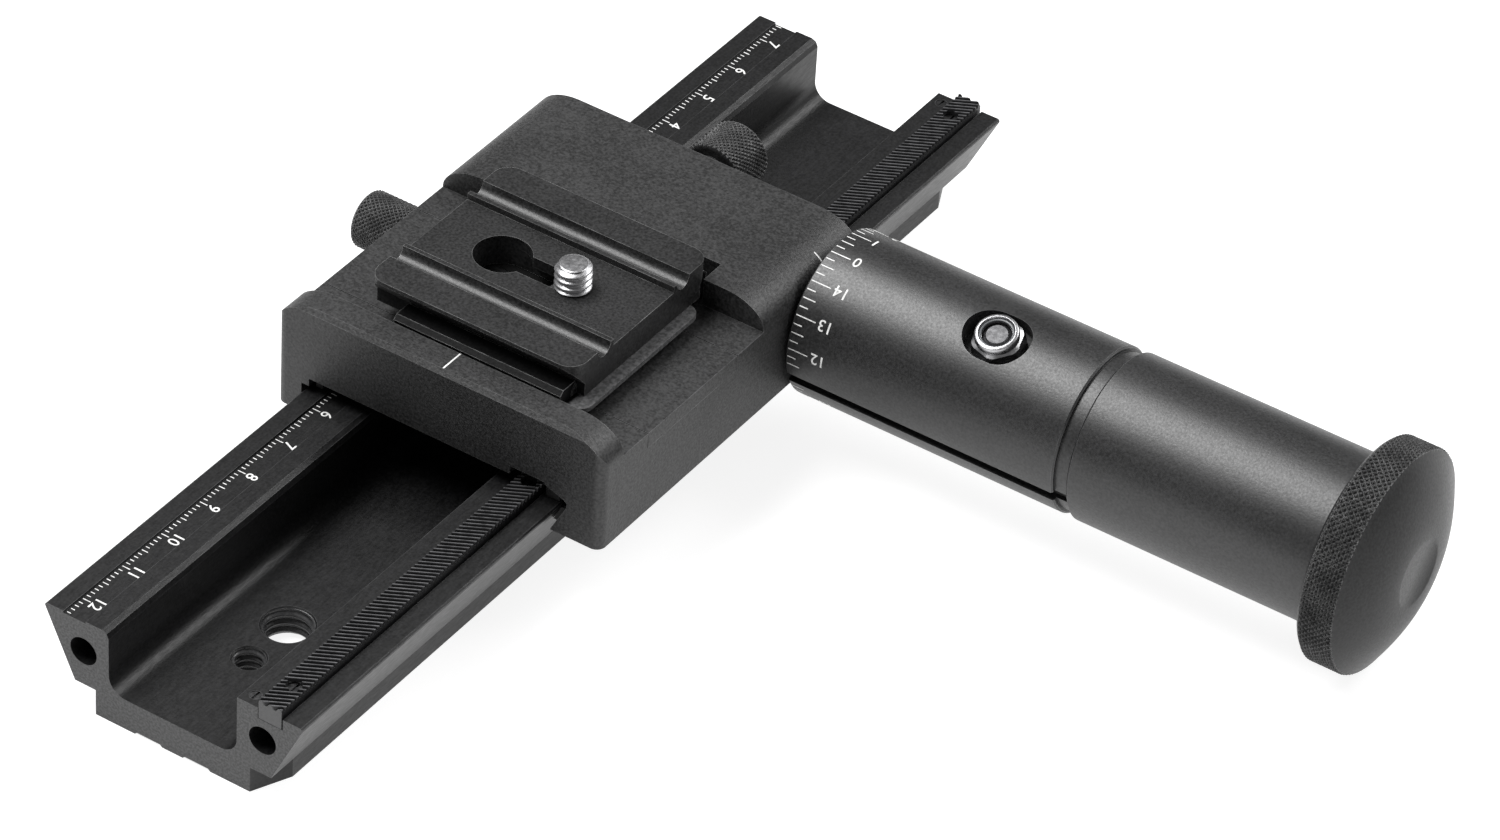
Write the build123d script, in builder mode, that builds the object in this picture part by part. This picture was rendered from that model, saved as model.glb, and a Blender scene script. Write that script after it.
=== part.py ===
"""Macro focusing slider: dovetail rail, rack-driven carriage, quick-release clamp and a scaled drive handle.

Millimetres. X points to the drive handle, Y runs along the rail, +Z is up. The origin is the middle of
the rail's underside.
"""

import os
from math import cos, pi, radians, sin, sqrt, tan

from build123d import *

os.makedirs("parts", exist_ok=True)

# ---- Rail -------------------------------------------------------------------------------------------
RAIL_LENGTH = 200.0
RAIL_HEIGHT = 18.0
RAIL_HALF = 25.0  # half width at the top
FLANK_TOP = 17.4  # height where the dovetail flank starts
ROOT_HALF = 19.2  # half width at the dovetail's root
ROOT_HEIGHT = 5.0
BASE_HALF = 18.3
BASE_END_HALF = 15.1  # the base narrows to this at both ends
BASE_TAPER = 6.9
CHANNEL_HALF = 12.5
CHANNEL_FLOOR = 6.0
CHANNEL_FILLET = 3.3
SCALE_LEFT = -21.4  # groove that carries the millimetre scale
SCALE_RIGHT = -17.0
SCALE_DEPTH = 0.4
RACK_SLOT_LEFT = 16.5
RACK_SLOT_RIGHT = 21.3
RACK_SLOT_FLOOR = 15.9
END_BORE_X = 17.45
END_BORE_Z = 11.8
END_BORE_RADIUS = 2.6
UNDER_RELIEF = 0.4
LARGE_THREAD_RADIUS = 4.366  # 3/8 inch, at the pitch diameter
LARGE_THREAD_Y = -70.0
SMALL_THREAD_RADIUS = 2.762  # 1/4 inch, at the pitch diameter
SMALL_THREAD_Y = -80.2
MOUTH_CHAMFER = 0.25
LEAD_IN = 0.6  # countersink under each tripod hole

# ---- Rack and pinion --------------------------------------------------------------------------------
TEETH = 15
PITCH = 1.0  # along the rail, so one turn of the handle moves the carriage 15 mm
PITCH_RADIUS = TEETH * PITCH / (2 * pi)
ADDENDUM = 0.30
DEDENDUM = 0.36
TOOTH_HALF = 0.21  # half thickness at the pitch line, leaving backlash
PRESSURE = radians(20)
TOOTH_SLANT = radians(30)
RACK_LEFT = 16.6
RACK_RIGHT = 21.0
DRIVE_Y = 33.57  # drive axis, parallel to X
DRIVE_Z = 21.82
RACK_PITCH_Z = DRIVE_Z - PITCH_RADIUS
PINION_X = 18.8
PINION_WIDTH = 3.6
PINION_SECTIONS = 9
RACK_SCREW_PITCH = 62.5

# ---- Carriage ---------------------------------------------------------------------------------------
CAR_LEFT = -30.3
CAR_RIGHT = 33.9
CAR_FRONT = -32.9
CAR_BACK = 40.7
CAR_BOTTOM = 13.5
CAR_TOP = 35.0
CAR_CORNER = 1.75
SHOULDER_WIDTH = 8.0
SHOULDER_HEIGHT = 5.0
TROUGH_FRONT = -27.3
TROUGH_BACK = 12.7
TROUGH_FLOOR = 29.8
CEILING = 20.9
RACK_CEILING = 22.5
INSERT_FRONT = -20.2
INSERT_BACK = 5.0
INSERT_BOTTOM = 26.8
SEAM = 0.15
RUN = 0.06  # radial running clearance
GAP = 0.3  # clearance between bodies that never touch

# ---- Quick-release plate and clamp ------------------------------------------------------------------
PLATE_LEFT = -18.5
PLATE_RIGHT = 22.5
PLATE_Y = -5.65  # middle of the plate
PLATE_HALF = 19.25
PLATE_BOTTOM = 32.85
PLATE_TOP = 39.7
PLATE_CORNER = 3.3
LIP = 0.7
FOOT_HALF = 16.25
FOOT_TOP = 35.4
GROOVE_OUTER = 12.85
GROOVE_INNER = 9.35
GROOVE_DEPTH = 1.8
RECESS_HALF = 8.5
RECESS_FLOOR = 38.5
KEYHOLE_X = -5.3
KEYHOLE_RADIUS = 4.95
SLOT_WIDTH = 4.8
SCREW_X = 8.6
SCREW_HEAD_ROOF = 36.5
LEDGE_TOP = 32.75
LEDGE_BOTTOM = 31.9
LEDGE_LEFT = -13.0
LEDGE_RIGHT = 24.7
LEDGE_FRONT = -25.4
LEDGE_BACK = 8.2
NECK_LEFT = -12.5
NECK_RIGHT = 21.5
NECK_FRONT = -23.2
NECK_BACK = 6.5
TONGUE = 1.0
JAW_LEFT = -12.0
JAW_RIGHT = 20.8
JAW_FRONT = -26.3
JAW_CHAMFER = 0.8
CLAMP_X = 2.95  # axis of the clamp screw, parallel to Y
CLAMP_Z = 29.6
CLAMP_SCREW_RADIUS = 2.0

# ---- Lock on the left skirt -------------------------------------------------------------------------
LOCK_Y = 11.75
LOCK_Z = 17.2
LOCK_SCREW_RADIUS = 2.0
SHOE_HALF = 4.0

# ---- Drive handle -----------------------------------------------------------------------------------
SHAFT_RADIUS = 2.0
PINION_BORE = 1.2
BUSH_RADIUS = 3.5
BUSH_LEFT = 27.6
SLEEVE_LEFT = 34.5
SLEEVE_RIGHT = 86.1
SLEEVE_RADIUS = 14.7
SLEEVE_BORE = 13.2
RING_RIGHT = 88.6
RING_RADIUS = 13.9
TUBE_RIGHT = 134.0
TUBE_RADIUS = 14.8
CORE_LEFT = 58.0
CORE_RIGHT = 100.0
SLIT_ANGLE = radians(200.5)
SLIT_WIDTH = 2.2
NUT_X = 68.1
NUT_ANGLE = radians(109)
NUT_POCKET_RADIUS = 4.95
NUT_POCKET_SLOT = 2.0  # the pocket is milled this much longer along the handle
NUT_SEAT = 10.7  # distance of the nut's seat from the drive axis
NUT_FLATS = 8.0
KNOB_LEFT = 134.4
KNOB_RIM_RIGHT = 141.1
KNOB_RADIUS = 19.7
KNOB_FACE = 145.5
CAP_RADIUS = 5.7

# ---- Clamp knob, lock knob, brake shoe and camera screw -------------------------------------------
CLAMP_KNOB_FRONT = 43.0
CLAMP_KNOB_BACK = 52.0
CLAMP_KNOB_RADIUS = 5.8
LOCK_KNOB_END = -45.0
LOCK_KNOB_RIGHT = -33.5
LOCK_KNOB_RADIUS = 5.2
SHOE_GAP = 0.5
SCREW_THREAD_RADIUS = 3.175
SCREW_NECK_RADIUS = 2.1
SCREW_TOP = 43.2


def flank(z):
    """Half width of the rail's dovetail at height z."""
    return ROOT_HALF + (RAIL_HALF - ROOT_HALF) * (z - ROOT_HEIGHT) / (FLANK_TOP - ROOT_HEIGHT)


def mirror_y(y):
    """The same distance on the other side of the plate's middle."""
    return 2 * PLATE_Y - y


def along_y(y):
    """Plane across the rail at y: sketch x is X, sketch y is Z, and it extrudes towards -Y."""
    return Plane(origin=(0, y, 0), x_dir=(1, 0, 0), z_dir=(0, -1, 0))


def along_x(x):
    """Plane along the rail at x: sketch x is Y, sketch y is Z, and it extrudes towards +X."""
    return Plane(origin=(x, 0, 0), x_dir=(0, 1, 0), z_dir=(1, 0, 0))


DRIVE = Plane(origin=(0, DRIVE_Y, DRIVE_Z), x_dir=(0, 1, 0), z_dir=(1, 0, 0))
NUT_PLANE = Plane(
    origin=(NUT_X, DRIVE_Y, DRIVE_Z),
    x_dir=(1, 0, 0),
    z_dir=(0, cos(NUT_ANGLE), sin(NUT_ANGLE)),
)


# ==== Rail ===========================================================================================
with BuildPart() as rail_extrusion:
    with BuildSketch(along_y(RAIL_LENGTH / 2)) as section:
        with BuildLine():
            Polyline(
                (-BASE_HALF, 0),
                (BASE_HALF, 0),
                (BASE_HALF, ROOT_HEIGHT),
                (ROOT_HALF, ROOT_HEIGHT),
                (RAIL_HALF, FLANK_TOP),
                (RAIL_HALF, RAIL_HEIGHT - 0.3),
                (RAIL_HALF - 0.3, RAIL_HEIGHT),
                (RACK_SLOT_RIGHT, RAIL_HEIGHT),
                (RACK_SLOT_RIGHT, RACK_SLOT_FLOOR),
                (RACK_SLOT_LEFT, RACK_SLOT_FLOOR),
                (RACK_SLOT_LEFT, RAIL_HEIGHT),
                (CHANNEL_HALF, RAIL_HEIGHT),
                (CHANNEL_HALF, CHANNEL_FLOOR),
                (-CHANNEL_HALF, CHANNEL_FLOOR),
                (-CHANNEL_HALF, RAIL_HEIGHT - 1.3),
                (-CHANNEL_HALF - 0.4, RAIL_HEIGHT - 0.4),
                (-CHANNEL_HALF - 1.3, RAIL_HEIGHT),
                (SCALE_RIGHT, RAIL_HEIGHT),
                (SCALE_RIGHT, RAIL_HEIGHT - SCALE_DEPTH),
                (SCALE_LEFT, RAIL_HEIGHT - SCALE_DEPTH),
                (SCALE_LEFT, RAIL_HEIGHT),
                (-RAIL_HALF + 0.3, RAIL_HEIGHT),
                (-RAIL_HALF, RAIL_HEIGHT - 0.3),
                (-RAIL_HALF, FLANK_TOP),
                (-ROOT_HALF, ROOT_HEIGHT),
                (-BASE_HALF, ROOT_HEIGHT),
                close=True,
            )
        make_face()
        # two shallow reliefs under the middle, with a land between them
        for side in (-1, 1):
            with BuildLine():
                Polyline(
                    (side * 2.0, 0),
                    (side * 7.4, 0),
                    (side * 7.0, UNDER_RELIEF),
                    (side * 2.4, UNDER_RELIEF),
                    close=True,
                )
            make_face(mode=Mode.SUBTRACT)
        fillet(
            [
                v
                for v in section.vertices()
                if abs(v.Y - CHANNEL_FLOOR) < 0.01 and abs(abs(v.X) - CHANNEL_HALF) < 0.01
            ],
            CHANNEL_FILLET,
        )
    extrude(amount=RAIL_LENGTH)
    # the base's plan corners are cut back at both ends
    for side in (-1, 1):
        for end in (-1, 1):
            with BuildSketch(Plane.XY):
                with BuildLine():
                    Polyline(
                        (side * BASE_END_HALF, end * (RAIL_LENGTH / 2 + 1)),
                        (side * BASE_END_HALF, end * RAIL_LENGTH / 2),
                        (side * BASE_HALF, end * (RAIL_LENGTH / 2 - BASE_TAPER)),
                        (side * (BASE_HALF + 0.5), end * (RAIL_LENGTH / 2 - BASE_TAPER)),
                        (side * (BASE_HALF + 0.5), end * (RAIL_LENGTH / 2 + 1)),
                        close=True,
                    )
                make_face()
            extrude(amount=ROOT_HEIGHT, mode=Mode.SUBTRACT)
    # extruded bores along the whole length, tapped at the ends for stops or an extension
    with BuildSketch(along_y(-RAIL_LENGTH / 2)):
        with Locations((-END_BORE_X, END_BORE_Z), (END_BORE_X, END_BORE_Z)):
            Circle(END_BORE_RADIUS)
    extrude(amount=-RAIL_LENGTH, mode=Mode.SUBTRACT)
    # tripod threads through the channel floor
    for y, radius in ((LARGE_THREAD_Y, LARGE_THREAD_RADIUS), (SMALL_THREAD_Y, SMALL_THREAD_RADIUS)):
        with Locations((0, y, 0)):
            Cylinder(
                radius,
                CHANNEL_FLOOR + 1,
                align=(Align.CENTER, Align.CENTER, Align.MIN),
                mode=Mode.SUBTRACT,
            )
        with Locations((0, y, CHANNEL_FLOOR - MOUTH_CHAMFER)):
            Cone(
                radius,
                radius + MOUTH_CHAMFER,
                MOUTH_CHAMFER,
                align=(Align.CENTER, Align.CENTER, Align.MIN),
                mode=Mode.SUBTRACT,
            )
        with Locations((0, y, 0)):
            Cone(
                radius + LEAD_IN,
                radius,
                LEAD_IN,
                align=(Align.CENTER, Align.CENTER, Align.MIN),
                mode=Mode.SUBTRACT,
            )
    # holes for the rack's screws and the small rib screws
    with BuildSketch(Plane.XY.offset(RACK_SLOT_FLOOR)):
        for n in (-1.5, -0.5, 0.5, 1.5):
            with Locations((PINION_X, n * RACK_SCREW_PITCH)):
                Circle(0.8)
    extrude(amount=-1.2, mode=Mode.SUBTRACT)
    with BuildSketch(Plane.XY.offset(RAIL_HEIGHT)):
        with Locations((14.4, -97.8), (14.4, 97.8)):
            Circle(1.0)
    extrude(amount=-2.0, mode=Mode.SUBTRACT)
rail_extrusion.part.label = "rail_extrusion"
export_step(rail_extrusion.part, "parts/rail_extrusion.step")

with BuildPart() as rack_strip:
    half_tip = TOOTH_HALF - ADDENDUM * tan(PRESSURE)
    half_root = TOOTH_HALF + DEDENDUM * tan(PRESSURE)
    root_z = RACK_PITCH_Z - DEDENDUM
    tip_z = RACK_PITCH_Z + ADDENDUM
    strip_half = RAIL_LENGTH / 2 - 0.05
    with BuildSketch(along_x(RACK_LEFT)):
        with BuildLine():
            Polyline(
                (-strip_half, RACK_SLOT_FLOOR),
                (strip_half, RACK_SLOT_FLOOR),
                (strip_half, root_z),
                (-strip_half, root_z),
                close=True,
            )
        make_face()
    extrude(amount=RACK_RIGHT - RACK_LEFT)
    # slanted teeth, with a space under the pinion's lowest tooth
    space_y = DRIVE_Y - (PINION_X - RACK_LEFT) * tan(TOOTH_SLANT)
    first = int(-strip_half - space_y) - 4
    last = int(strip_half - space_y) + 1
    with BuildSketch(along_x(RACK_LEFT)):
        for n in range(first, last):
            with Locations((space_y + (n + 0.5) * PITCH, root_z)):
                Polygon(
                    (-half_root, -0.1),
                    (half_root, -0.1),
                    (half_root, 0),
                    (half_tip, tip_z - root_z),
                    (-half_tip, tip_z - root_z),
                    (-half_root, 0),
                    align=None,
                )
    extrude(
        amount=(RACK_RIGHT - RACK_LEFT) / cos(TOOTH_SLANT),
        dir=(cos(TOOTH_SLANT), sin(TOOTH_SLANT), 0),
    )
    with Locations(((RACK_LEFT + RACK_RIGHT) / 2, 0, RACK_SLOT_FLOOR)):
        Box(
            RACK_RIGHT - RACK_LEFT,
            2 * strip_half,
            tip_z - RACK_SLOT_FLOOR,
            align=(Align.CENTER, Align.CENTER, Align.MIN),
            mode=Mode.INTERSECT,
        )
    for n in (-1.5, -0.5, 0.5, 1.5):
        with Locations((PINION_X, n * RACK_SCREW_PITCH, 17.9)):
            Cylinder(1.35, 3, align=(Align.CENTER, Align.CENTER, Align.MIN), mode=Mode.SUBTRACT)
        with Locations((PINION_X, n * RACK_SCREW_PITCH, RACK_SLOT_FLOOR)):
            Cylinder(0.8, 3, align=(Align.CENTER, Align.CENTER, Align.MIN), mode=Mode.SUBTRACT)
rack_strip.part.label = "rack_strip"
export_step(rack_strip.part, "parts/rack_strip.step")

with BuildPart() as rack_screws:
    for n in (-1.5, -0.5, 0.5, 1.5):
        with Locations((PINION_X, n * RACK_SCREW_PITCH, 17.9)):
            Cylinder(1.3, 0.9, align=(Align.CENTER, Align.CENTER, Align.MIN))
        with Locations((PINION_X, n * RACK_SCREW_PITCH, 18.45)):
            Box(0.4, 3, 0.5, align=(Align.CENTER, Align.CENTER, Align.MIN), mode=Mode.SUBTRACT)
        with Locations((PINION_X, n * RACK_SCREW_PITCH, 14.8)):
            Cylinder(0.8, 3.2, align=(Align.CENTER, Align.CENTER, Align.MIN))
rack_screws.part.label = "rack_screws"
export_step(rack_screws.part, "parts/rack_screws.step")

with BuildPart() as rib_screws:
    for y in (-97.8, 97.8):
        with Locations((14.4, y, 16.0)):
            Cylinder(1.0, 1.9, align=(Align.CENTER, Align.CENTER, Align.MIN))
        with Locations((14.4, y, 17.5)):
            Box(0.35, 3, 0.5, align=(Align.CENTER, Align.CENTER, Align.MIN), mode=Mode.SUBTRACT)
rib_screws.part.label = "rib_screws"
export_step(rib_screws.part, "parts/rib_screws.step")

# ==== Carriage =======================================================================================
CAR_X = (CAR_LEFT + CAR_RIGHT) / 2
CAR_Y = (CAR_FRONT + CAR_BACK) / 2
SHOULDER_Z = CAR_TOP - SHOULDER_HEIGHT

with BuildPart() as carriage_block:
    with BuildSketch(along_y(CAR_BACK)):
        with BuildLine():
            Line((CAR_LEFT, SHOULDER_Z), (CAR_LEFT, CAR_BOTTOM))
            Line((CAR_LEFT, CAR_BOTTOM), (CAR_RIGHT, CAR_BOTTOM))
            Line((CAR_RIGHT, CAR_BOTTOM), (CAR_RIGHT, SHOULDER_Z))
            EllipticalCenterArc(
                (CAR_RIGHT - SHOULDER_WIDTH, SHOULDER_Z),
                SHOULDER_WIDTH,
                SHOULDER_HEIGHT,
                start_angle=0,
                arc_size=90,
            )
            Line((CAR_RIGHT - SHOULDER_WIDTH, CAR_TOP), (CAR_LEFT + SHOULDER_WIDTH, CAR_TOP))
            EllipticalCenterArc(
                (CAR_LEFT + SHOULDER_WIDTH, SHOULDER_Z),
                SHOULDER_WIDTH,
                SHOULDER_HEIGHT,
                start_angle=90,
                arc_size=90,
            )
        make_face()
    extrude(amount=CAR_BACK - CAR_FRONT)
    # plan corners
    with BuildSketch(Plane.XY.offset(CAR_BOTTOM)):
        with Locations((CAR_X, CAR_Y)):
            RectangleRounded(CAR_RIGHT - CAR_LEFT, CAR_BACK - CAR_FRONT, CAR_CORNER)
    extrude(amount=CAR_TOP - CAR_BOTTOM, mode=Mode.INTERSECT)
    # chamfer on the front block's upper edge
    with BuildSketch(along_x(CAR_LEFT)):
        with BuildLine():
            Polyline(
                (CAR_FRONT, CAR_TOP - JAW_CHAMFER),
                (CAR_FRONT + JAW_CHAMFER, CAR_TOP),
                (CAR_FRONT, CAR_TOP),
                close=True,
            )
        make_face()
    extrude(amount=CAR_RIGHT - CAR_LEFT, mode=Mode.SUBTRACT)
    # trough across the top
    with Locations((CAR_X, (TROUGH_FRONT + TROUGH_BACK) / 2, TROUGH_FLOOR)):
        Box(
            80,
            TROUGH_BACK - TROUGH_FRONT,
            10,
            align=(Align.CENTER, Align.CENTER, Align.MIN),
            mode=Mode.SUBTRACT,
        )
    # seat for the flush insert in the trough's floor
    with Locations((CAR_X, (INSERT_FRONT + INSERT_BACK) / 2, INSERT_BOTTOM)):
        Box(
            80,
            INSERT_BACK - INSERT_FRONT + 2 * SEAM,
            4,
            align=(Align.CENTER, Align.CENTER, Align.MIN),
            mode=Mode.SUBTRACT,
        )
    # tunnel for the rail, with a raised ceiling over the rack
    with BuildSketch(along_y(CAR_BACK + 1)):
        with BuildLine():
            Polyline(
                (-flank(CAR_BOTTOM - 1) - GAP, CAR_BOTTOM - 1),
                (-RAIL_HALF - GAP, FLANK_TOP),
                (-RAIL_HALF - GAP, 19.4),
                (-23.8, 19.4),
                (-23.8, CEILING),
                (16.0, CEILING),
                (16.0, RACK_CEILING),
                (23.0, RACK_CEILING),
                (23.0, 22.0),
                (26.6, 20.7),
                (27.3, 20.2),
                (27.2, 19.3),
                (24.5, 14.05),
                (24.0, CAR_BOTTOM - 1),
                close=True,
            )
        make_face()
    extrude(amount=CAR_BACK - CAR_FRONT + 2, mode=Mode.SUBTRACT)
    # room for the pinion and the shaft's inner end
    with Locations((18.9, DRIVE_Y, RACK_CEILING - 1)):
        Box(6.0, 6.6, 3.9, align=(Align.CENTER, Align.CENTER, Align.MIN), mode=Mode.SUBTRACT)
    with BuildSketch(DRIVE.offset(21.5)):
        Circle(BUSH_RADIUS)
    extrude(amount=CAR_RIGHT - 21.5, mode=Mode.SUBTRACT)
    # pocket and bore of the moving jaw and its screw
    with Locations(((JAW_LEFT + JAW_RIGHT) / 2, TROUGH_BACK - 0.1, TROUGH_FLOOR)):
        Box(
            JAW_RIGHT - JAW_LEFT + 2,
            5.1,
            10,
            align=(Align.CENTER, Align.MIN, Align.MIN),
            mode=Mode.SUBTRACT,
        )
    with Locations((CLAMP_X, TROUGH_BACK - 0.1, 26.0)):
        Box(10, 5.1, 5, align=(Align.CENTER, Align.MIN, Align.MIN), mode=Mode.SUBTRACT)
    with BuildSketch(along_y(CAR_BACK)):
        with Locations((CLAMP_X, CLAMP_Z)):
            Circle(CLAMP_SCREW_RADIUS + RUN)
    extrude(amount=CAR_BACK - TROUGH_BACK - 2, mode=Mode.SUBTRACT)
    # bore and pocket of the lock screw and its brake shoe
    with BuildSketch(along_x(CAR_LEFT)):
        with Locations((LOCK_Y, LOCK_Z)):
            Circle(LOCK_SCREW_RADIUS + RUN)
    extrude(amount=4, mode=Mode.SUBTRACT)
    with Locations((-28.2, LOCK_Y, CAR_BOTTOM)):
        Box(
            4.6,
            2 * (SHOE_HALF + GAP),
            19.3 - CAR_BOTTOM,
            align=(Align.MIN, Align.CENTER, Align.MIN),
            mode=Mode.SUBTRACT,
        )
    # threads of the clamp base's screws
    with BuildSketch(Plane.XY.offset(INSERT_BOTTOM)):
        with Locations((-8, PLATE_Y), (12, PLATE_Y)):
            Circle(1.7)
    extrude(amount=-4.6, mode=Mode.SUBTRACT)
    # threads of the gib's screws
    with BuildSketch(Plane.XY.offset(CAR_BOTTOM)):
        with Locations((26.2, -20), (26.2, 20)):
            Circle(0.8)
    extrude(amount=1.7, mode=Mode.SUBTRACT)
carriage_block.part.label = "carriage_block"
export_step(carriage_block.part, "parts/carriage_block.step")

with BuildPart() as seat_insert:
    with Locations((CAR_X, (INSERT_FRONT + INSERT_BACK) / 2, INSERT_BOTTOM)):
        Box(
            CAR_RIGHT - CAR_LEFT,
            INSERT_BACK - INSERT_FRONT,
            TROUGH_FLOOR - INSERT_BOTTOM,
            align=(Align.CENTER, Align.CENTER, Align.MIN),
        )
    with BuildSketch(Plane.XY.offset(INSERT_BOTTOM)):
        with Locations((-8, PLATE_Y), (12, PLATE_Y)):
            Circle(1.7)
    extrude(amount=TROUGH_FLOOR - INSERT_BOTTOM, mode=Mode.SUBTRACT)
seat_insert.part.label = "seat_insert"
export_step(seat_insert.part, "parts/seat_insert.step")

# low-friction strips that carry the block on the rail's two ribs
with BuildPart() as glide_pads:
    with BuildSketch(along_y(CAR_BACK - 2)):
        with BuildLine():
            Polyline((-23.75, CEILING), (-23.75, 18.1), (-22.4, 18.1), (-22.4, CEILING), close=True)
        make_face()
        with BuildLine():
            Polyline(
                (21.9, 18.1),
                (24.6, 18.1),
                (24.6, 22.0 - 1.6 * 1.3 / 3.6),
                (23.0, 22.0),
                (23.0, RACK_CEILING),
                (21.9, RACK_CEILING),
                close=True,
            )
        make_face()
    extrude(amount=24)
    with BuildSketch(along_y(CAR_FRONT + 26)):
        with BuildLine():
            Polyline((-23.75, CEILING), (-23.75, 18.1), (-22.4, 18.1), (-22.4, CEILING), close=True)
        make_face()
        with BuildLine():
            Polyline(
                (21.9, 18.1),
                (24.6, 18.1),
                (24.6, 22.0 - 1.6 * 1.3 / 3.6),
                (23.0, 22.0),
                (23.0, RACK_CEILING),
                (21.9, RACK_CEILING),
                close=True,
            )
        make_face()
    extrude(amount=24)
    with BuildSketch(DRIVE.offset(21.5)):
        Circle(BUSH_RADIUS + 0.2)
    extrude(amount=10, mode=Mode.SUBTRACT)
glide_pads.part.label = "glide_pads"
export_step(glide_pads.part, "parts/glide_pads.step")

# strip that takes up the play against the rail's right flank
with BuildPart() as gib_strip:
    with BuildSketch(along_y(CAR_BACK - 2)):
        with BuildLine():
            Polyline(
                (flank(CAR_BOTTOM + 0.6) + 0.1, CAR_BOTTOM + 0.6),
                (24.5, CAR_BOTTOM + 0.6),
                (24.5 + 3.1 * 2.7 / 5.25, 17.15),
                (flank(17.15) + 0.1, 17.15),
                close=True,
            )
        make_face()
    extrude(amount=CAR_BACK - CAR_FRONT - 4)
gib_strip.part.label = "gib_strip"
export_step(gib_strip.part, "parts/gib_strip.step")

with BuildPart() as gib_screws:
    for y in (-20, 20):
        with Locations((26.2, y, CAR_BOTTOM - 0.8)):
            Cylinder(1.8, 0.8, align=(Align.CENTER, Align.CENTER, Align.MIN))
            Cylinder(0.8, 2.4, align=(Align.CENTER, Align.CENTER, Align.MIN))
            Box(0.4, 4, 0.35, align=(Align.CENTER, Align.CENTER, Align.MIN), mode=Mode.SUBTRACT)
gib_screws.part.label = "gib_screws"
export_step(gib_screws.part, "parts/gib_screws.step")

with BuildPart() as shaft_bush:
    with BuildSketch(DRIVE.offset(BUSH_LEFT)):
        Circle(BUSH_RADIUS)
        Circle(SHAFT_RADIUS + RUN, mode=Mode.SUBTRACT)
    extrude(amount=CAR_RIGHT - BUSH_LEFT)
shaft_bush.part.label = "shaft_bush"
export_step(shaft_bush.part, "parts/shaft_bush.step")

# ==== Plate clamp ====================================================================================
with BuildPart() as clamp_base:
    with BuildSketch(Plane.XY.offset(TROUGH_FLOOR)):
        with Locations(((NECK_LEFT + NECK_RIGHT) / 2, (NECK_FRONT + NECK_BACK) / 2)):
            Rectangle(NECK_RIGHT - NECK_LEFT, NECK_BACK - NECK_FRONT)
    extrude(amount=LEDGE_BOTTOM - TROUGH_FLOOR)
    with BuildSketch(Plane.XY.offset(LEDGE_BOTTOM)):
        with Locations(((LEDGE_LEFT + LEDGE_RIGHT) / 2, (LEDGE_FRONT + LEDGE_BACK) / 2)):
            RectangleRounded(LEDGE_RIGHT - LEDGE_LEFT, LEDGE_BACK - LEDGE_FRONT, 2.5)
    extrude(amount=LEDGE_TOP - LEDGE_BOTTOM)
    # slot for the fixed jaw in the front edge
    with Locations(((JAW_LEFT + JAW_RIGHT) / 2 - 1.0, NECK_FRONT, TROUGH_FLOOR)):
        Box(
            JAW_RIGHT - JAW_LEFT + 2.4,
            5,
            5,
            align=(Align.CENTER, Align.MAX, Align.MIN),
            mode=Mode.SUBTRACT,
        )
    # countersunk holes, and blind threads for the jaw's screws
    for x in (-8, 12):
        with Locations((x, PLATE_Y, TROUGH_FLOOR)):
            Cylinder(1.7, 3, align=(Align.CENTER, Align.CENTER, Align.MIN), mode=Mode.SUBTRACT)
            Cone(
                1.7,
                3.5,
                LEDGE_TOP - TROUGH_FLOOR,
                align=(Align.CENTER, Align.CENTER, Align.MIN),
                mode=Mode.SUBTRACT,
            )
    with BuildSketch(along_y(NECK_FRONT)):
        with Locations((-5, 30.9), (14, 30.9)):
            Circle(0.7)
    extrude(amount=-4, mode=Mode.SUBTRACT)
clamp_base.part.label = "clamp_base"
export_step(clamp_base.part, "parts/clamp_base.step")

with BuildPart() as clamp_base_screws:
    for x in (-8, 12):
        with Locations((x, PLATE_Y, 22.6)):
            Cylinder(1.7, 9, align=(Align.CENTER, Align.CENTER, Align.MIN))
        with Locations((x, PLATE_Y, TROUGH_FLOOR)):
            Cone(1.7, 3.4, LEDGE_TOP - TROUGH_FLOOR - 0.1, align=(Align.CENTER, Align.CENTER, Align.MIN))
        with Locations((x, PLATE_Y, LEDGE_TOP - 1.6)):
            Box(2.2, 2.2, 2, align=(Align.CENTER, Align.CENTER, Align.MIN), mode=Mode.SUBTRACT)
clamp_base_screws.part.label = "clamp_base_screws"
export_step(clamp_base_screws.part, "parts/clamp_base_screws.step")

with BuildPart() as fixed_jaw:
    with BuildSketch(along_x(JAW_LEFT)):
        with BuildLine():
            Polyline(
                (JAW_FRONT, TROUGH_FLOOR + 0.1),
                (JAW_FRONT, FOOT_TOP - JAW_CHAMFER),
                (JAW_FRONT + JAW_CHAMFER, FOOT_TOP),
                (PLATE_Y - FOOT_HALF - GAP, FOOT_TOP),
                (PLATE_Y - FOOT_HALF - GAP, FOOT_TOP - 0.5),
                (PLATE_Y - FOOT_HALF - GAP - TONGUE, FOOT_TOP - 0.5 - TONGUE),
                (PLATE_Y - FOOT_HALF - GAP - TONGUE, TROUGH_FLOOR + 0.1),
                close=True,
            )
        make_face()
    extrude(amount=JAW_RIGHT - JAW_LEFT)
    with BuildSketch(along_y(NECK_FRONT)):
        with Locations((-5, 30.9), (14, 30.9)):
            Circle(0.7)
    extrude(amount=5, mode=Mode.SUBTRACT)
    with BuildSketch(along_y(JAW_FRONT + 1.4)):
        with Locations((-5, 30.9), (14, 30.9)):
            Circle(1.0)
    extrude(amount=2, mode=Mode.SUBTRACT)
fixed_jaw.part.label = "fixed_jaw"
export_step(fixed_jaw.part, "parts/fixed_jaw.step")

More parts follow.
